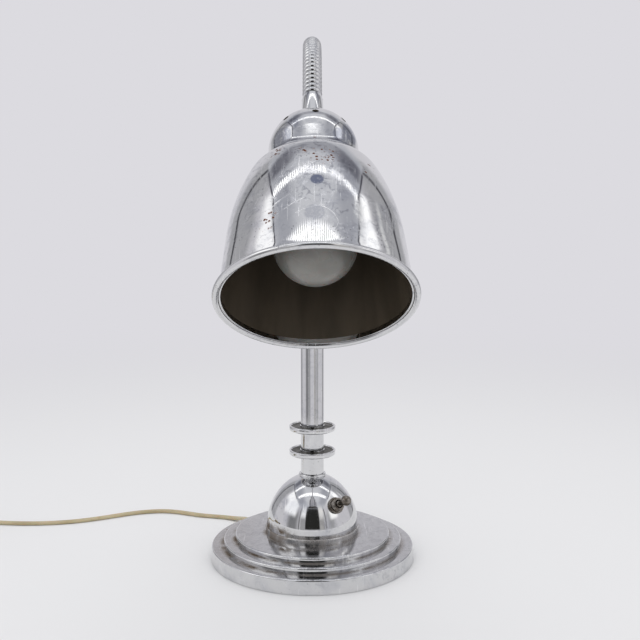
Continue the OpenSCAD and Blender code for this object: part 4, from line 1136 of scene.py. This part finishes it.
def studio_world():
    """Even pale light, and the plain backdrop. Metal sees the backdrop too, with the studio in front of it."""
    world = bpy.data.worlds.new("studio_world")
    bpy.context.scene.world = world
    sky = Nodes(world, "ShaderNodeOutputWorld")
    x, y, z = sky.axes(sky.node("ShaderNodeTexCoord").outputs["Generated"])
    turn = sky.times(sky.sum("ARCTAN2", x, sky.times(y, -1.0)), 180 / math.pi)
    rise = sky.times(sky.sum("ARCSINE", z), 180 / math.pi)
    round_to = {"turn": turn, "both": sky.sum("ABSOLUTE", turn)}
    color = BACKDROP
    for way, low, high, soft, down, up, ease, paint in PANELS:
        share = sky.times(sky.within(round_to[way], low, high, soft), sky.within(rise, down, up, ease))
        color = sky.mix(share, color, paint)
    above = sky.sum("GREATER_THAN", z, 0.3)
    height = sky.largest(z, 0.05)
    across = sky.sum("DIVIDE", x, height)
    ahead = sky.sum("DIVIDE", y, height)

    def overhead(color, patch):
        low, high, soft, near, far, ease, share, paint = patch
        place = across if low < 0 else sky.sum("ABSOLUTE", across)
        cover = sky.times(sky.within(place, low, high, soft), sky.within(ahead, near, far, ease))
        return sky.mix(sky.times(cover, above, share), color, paint)

    for patch in CEILING:
        color = overhead(color, patch)
    comb = sky.sum("SINE", sky.times(across, 2 * math.pi / COMB))
    comb = sky.sum("MINIMUM", sky.largest(sky.sum("MULTIPLY_ADD", comb, 1.2, 0.5), 0.0), 1.0)
    for place, width, reach, glow in LAMP_BARS:
        bar = sky.times(sky.within(ahead, place - width, place + width, 0.03),
                        sky.within(across, -reach, reach, 0.02), above)
        color = sky.mix(bar, color, sky.mix(comb, (0.4, 0.4, 0.42), (glow, glow, glow)))
    color = overhead(color, CEILING_EDGE)
    color = sky.mix(sky.within(rise, -95, -30, 4), color, (0.78, 0.78, 0.79))

    rays = sky.node("ShaderNodeLightPath").outputs
    seen = sky.mix(rays["Is Glossy Ray"], BACKDROP, color)
    looks = sky.largest(rays["Is Camera Ray"], rays["Is Glossy Ray"], rays["Is Transmission Ray"])
    light = sky.node("ShaderNodeBackground", {"Color": sky.mix(looks, DAYLIGHT, seen)})
    sky.plug(light.outputs[0], sky.surface)


def floor():
    """A pale table top that fades into the backdrop and keeps the lamp's shadow."""
    put_tools_down()
    bpy.ops.mesh.primitive_circle_add(vertices=96, radius=FLOOR_R, fill_type="NGON", location=(0, 0, 0))
    ground = bpy.context.object
    ground.name = "studio_floor"
    material = bpy.data.materials.new("studio_floor")
    look = Nodes(material, "ShaderNodeOutputMaterial")
    matt = look.node("ShaderNodeBsdfDiffuse", {"Color": TABLE})
    far = look.node("ShaderNodeEmission", {"Color": BACKDROP})
    clear = look.node("ShaderNodeBsdfTransparent")
    where = look.node("ShaderNodeTexCoord").outputs["Object"]
    out = look.node("ShaderNodeVectorMath", {0: where}, operation="LENGTH").outputs["Value"]

    def blend(share, first, second):
        inputs = {0: share, 1: first.outputs[0], 2: second.outputs[0]}
        return look.node("ShaderNodeMixShader", inputs)

    table = blend(look.band(out, 0.25, 1.6), matt, far)
    bounced = blend(look.band(out, 0.42, 0.55), matt, clear)
    camera_ray = look.node("ShaderNodeLightPath").outputs["Is Camera Ray"]
    look.plug(blend(camera_ray, bounced, table).outputs[0], look.surface)
    ground.data.materials.append(material)


def soft_lamp(name, place, aim, size, power):
    data = bpy.data.lights.new(name, "AREA")
    data.shape = "RECTANGLE"
    data.size = data.size_y = size
    data.energy = power
    lamp = bpy.data.objects.new(name, data)
    lamp.location = place
    lamp.rotation_euler = (Vector(aim) - Vector(place)).to_track_quat("-Z", "Y").to_euler()
    lamp.visible_glossy = False
    show(lamp)


studio_world()
floor()
soft_lamp("soft_overhead", (0.1, -0.1, 1.3), (0, 0, 0.1), 1.2, 4)
soft_lamp("soft_front", (-0.6, -1.2, 0.6), (0, 0, 0.2), 0.8, 2)
